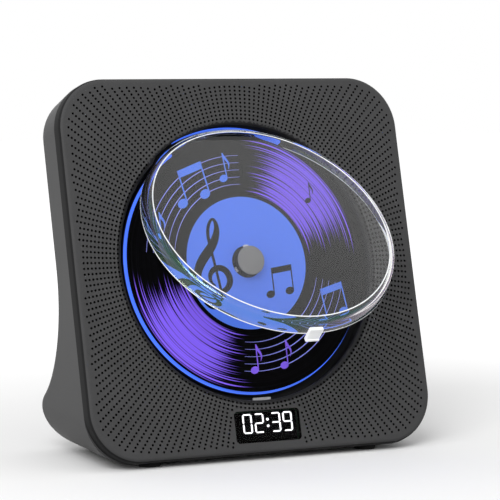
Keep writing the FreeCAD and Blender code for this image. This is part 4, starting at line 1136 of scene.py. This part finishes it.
def arm_meshes(side):
    x0 = side * arm_offset - arm_width / 2.0
    x1 = side * arm_offset + arm_width / 2.0
    half = arm_thickness / 2.0
    end = arm_neck_inner + arm_neck
    # Each block is a little smaller than the last, so that no faces coincide where they join
    one, two = join_inset, 2.0 * join_inset
    neck = rounded_block((x0, arm_neck_inner, pivot_back - half), (x1, end, arm_top), arm_round)
    beam = rounded_block((x0 + one, pivot_up, pivot_back - half + one),
                         (x1 - one, end - one, pivot_back + half), arm_round)
    root = rounded_block((x0 + two, cover_radius - arm_root, cover_base + arm_root_lift),
                         (x1 - two, end - two, arm_top - two), arm_root_round)
    barrel = bmesh.new()
    bmesh.ops.create_cone(barrel, cap_ends=True, segments=barrel_points, radius1=barrel_radius,
                          radius2=barrel_radius, depth=arm_width - barrel_inset)
    bmesh.ops.rotate(barrel, matrix=Matrix.Rotation(math.pi / 2.0, 3, "Y"), verts=barrel.verts)
    bmesh.ops.translate(barrel, vec=(side * arm_offset, pivot_up, pivot_back), verts=barrel.verts)
    return [mesh_from_bmesh("arm", form) for form in (neck, beam, root, barrel)]


def tab_meshes():
    inner, outer = tab_inner - tab_radius, -tab_radius - tab_outer
    plate = rounded_block((-tab_half, outer, -tab_reach), (tab_half, inner, tab_front), tab_round)
    half = tab_half - join_inset
    hook = rounded_block((-half, outer - hook_out, -tab_reach + join_inset),
                         (half, inner - hook_in, hook_height - tab_reach), hook_round)
    return [mesh_from_bmesh("tab", form) for form in (plate, hook)]


def rim_highlight(name, radius, height):
    # Painted highlight: a white, faintly glowing ring where the polished edge of the cover catches
    # the light
    profile = circle(rim_line, 8, radius, height)
    ring = place(name, turned(name, profile, cover_points), cover_frame())
    cover_detail(ring)


def cover_detail(piece):
    # White, faintly glowing material of the tab and the rim rings: painted highlight
    dress(piece, EXTRA["painted_highlight"])
    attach(piece, "cover")


def cover():
    meshes = [dish_mesh()] + arm_meshes(-1) + arm_meshes(1)
    piece = joined("clear_cover", meshes, cover_frame())
    dress(piece, MATERIALS["clear_acrylic"])
    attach(piece, "cover")
    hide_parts("dust_cover")
    cover_detail(joined("cover_tab", tab_meshes(), cover_frame()))
    top = cover_base + cover_height
    rim_highlight("cover_highlight_lower", cover_radius - rim_line, cover_base + rim_line)
    rim_highlight("cover_highlight_upper", cover_top_radius - cover_round, top - rim_line)


# Display figures

def bar_outline(x0, y0, x1, y1):
    # Six-sided bar between two corners of the figure, with mitred ends
    ahead = Vector((x1 - x0, y1 - y0)).normalized()
    side = Vector((-ahead.y, ahead.x)) * figure_stroke / 2.0
    start = Vector((x0, y0)) + ahead * figure_gap
    end = Vector((x1, y1)) - ahead * figure_gap
    run = ahead * figure_stroke / 2.0
    return [start, start + run - side, end - run - side, end, end - run + side, start + run + side]


def figure_bars(centre, lit):
    half_w = (figure_width - figure_stroke) / 2.0
    half_h = (figure_height - figure_stroke) / 2.0
    left, right = centre - half_w, centre + half_w
    middle = figure_level
    low, high = middle - half_h, middle + half_h
    runs = {"top": (left, high, right, high), "right_up": (right, middle, right, high),
            "right_low": (right, low, right, middle), "low": (left, low, right, low),
            "left_low": (left, low, left, middle), "left_up": (left, middle, left, high),
            "middle": (left, middle, right, middle)}
    return [bar_outline(*runs[name]) for name in lit]


def colon_dots():
    dots = []
    for side in (-1, 1):
        y = figure_level + side * colon_spread / 2.0
        dots.append([Vector(p) for p in circle(colon_size, colon_points, colon_place, y)])
    return dots


def figures():
    lit = (("top", "right_up", "right_low", "low", "left_low", "left_up"),
           ("top", "right_up", "middle", "left_low", "low"),
           ("top", "right_up", "middle", "right_low", "low"),
           ("top", "right_up", "right_low", "low", "left_up", "middle"))
    outlines = colon_dots()
    for centre, names in zip(figure_places, lit):
        outlines += figure_bars(centre, names)
    skin = Skin()
    for outline in outlines:
        skin.slab(outline, -figure_depth, -figure_depth - figure_thickness)
    piece = place("display_figures", mesh_from("display_figures", skin.points, skin.faces))
    dress(piece, MATERIALS["white_light"])
    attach(piece, "case")
    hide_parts("display_digits")


# Stage

def floor():
    size = floor_reach
    corners = [(-size, -size, 0), (size, -size, 0), (size, size, 0), (-size, size, 0)]
    mesh = bpy.data.meshes.new("floor")
    mesh.from_pydata(corners, [], [(0, 1, 2, 3)])
    ground = place("floor", mesh, Matrix.Identity(4))
    material, tree, shader = new_material("floor_white")
    soft = noise(tree, floor_grain, 1.0)
    seen = seen_rays(tree)
    pale = maths(tree, "MULTIPLY", span(tree, seen, floor_bounce, floor_tone),
                 span(tree, soft, 0.99, 1.01))
    tree.links.new(pale, shader.inputs["Base Color"])
    shader.inputs["Roughness"].default_value = 0.9
    shader.inputs["Specular IOR Level"].default_value = 0.0
    shader.inputs["Emission Color"].default_value = (1.0, 1.0, 1.0, 1.0)
    away = maths(tree, "SQRT", maths(tree, "ADD", squared(tree, 0), squared(tree, 1)))
    lift = maths(tree, "MULTIPLY", step_between(tree, away, lift_start, lift_end), floor_lift)
    tree.links.new(maths(tree, "MULTIPLY", seen, lift), shader.inputs["Emission Strength"])
    dress(ground, material)


def squared(tree, axis):
    # Square of the floor's distance from the object in millimetres along one direction
    reach = along(tree, Matrix.Identity(4), axis)
    return maths(tree, "MULTIPLY", reach, reach)


def seen_rays(tree):
    # One for rays that show the background to the camera, directly, in gloss or through glass
    rays = add(tree, "ShaderNodeLightPath")
    mirror = maths(tree, "MAXIMUM", rays.outputs["Is Glossy Ray"],
                   rays.outputs["Is Transmission Ray"])
    return maths(tree, "MAXIMUM", rays.outputs["Is Camera Ray"], mirror)


def world():
    scene = bpy.context.scene
    scene.world = bpy.data.worlds.new("studio")
    scene.world.use_nodes = True
    tree = scene.world.node_tree
    background = tree.nodes["Background"]
    tree.links.new(span(tree, seen_rays(tree), sky_level, 1.0), background.inputs["Strength"])
    background.inputs["Color"].default_value = (1.0, 1.0, 1.0, 1.0)


def lamp(name, position, target, size, power):
    data = bpy.data.lights.new(name, "AREA")
    data.energy = power
    data.size = size
    holder = bpy.data.objects.new(name, data)
    bpy.context.scene.collection.objects.link(holder)
    aim = Vector(target) - Vector(position)
    turn = aim.to_track_quat("-Z", "Y").to_matrix().to_4x4()
    holder.matrix_world = Matrix.Translation(position) @ turn


def camera():
    turn, rise = math.radians(camera_turn), math.radians(camera_rise)
    level = math.cos(rise)
    back = Vector((-math.sin(turn) * level, -math.cos(turn) * level, math.sin(rise)))
    right = Vector((0.0, 0.0, 1.0)).cross(back).normalized()
    up = back.cross(right)
    centre = PANEL @ (Vector((0.0, -well_rise, 0.0)) * MM)
    spot = centre + (back * camera_distance + right * camera_right + up * camera_up) * MM
    data = bpy.data.cameras.new("camera")
    data.sensor_width = sensor_width
    data.lens = focal_pixels / image_side * sensor_width
    data.clip_start = clip_start
    holder = bpy.data.objects.new("camera", data)
    bpy.context.scene.collection.objects.link(holder)
    holder.matrix_world = Matrix.Translation(spot) @ Matrix((right, up, back)).transposed().to_4x4()
    bpy.context.scene.camera = holder


def stage():
    bpy.context.scene.view_settings.view_transform = "Standard"
    world()
    floor()
    lamp("key_lamp", lamp_spot, lamp_target, lamp_size, lamp_power)
    camera()


dress_nodes()
rear_shell()
grille_panel()
disc()
disc_print()
hub()
cover()
figures()
stage()
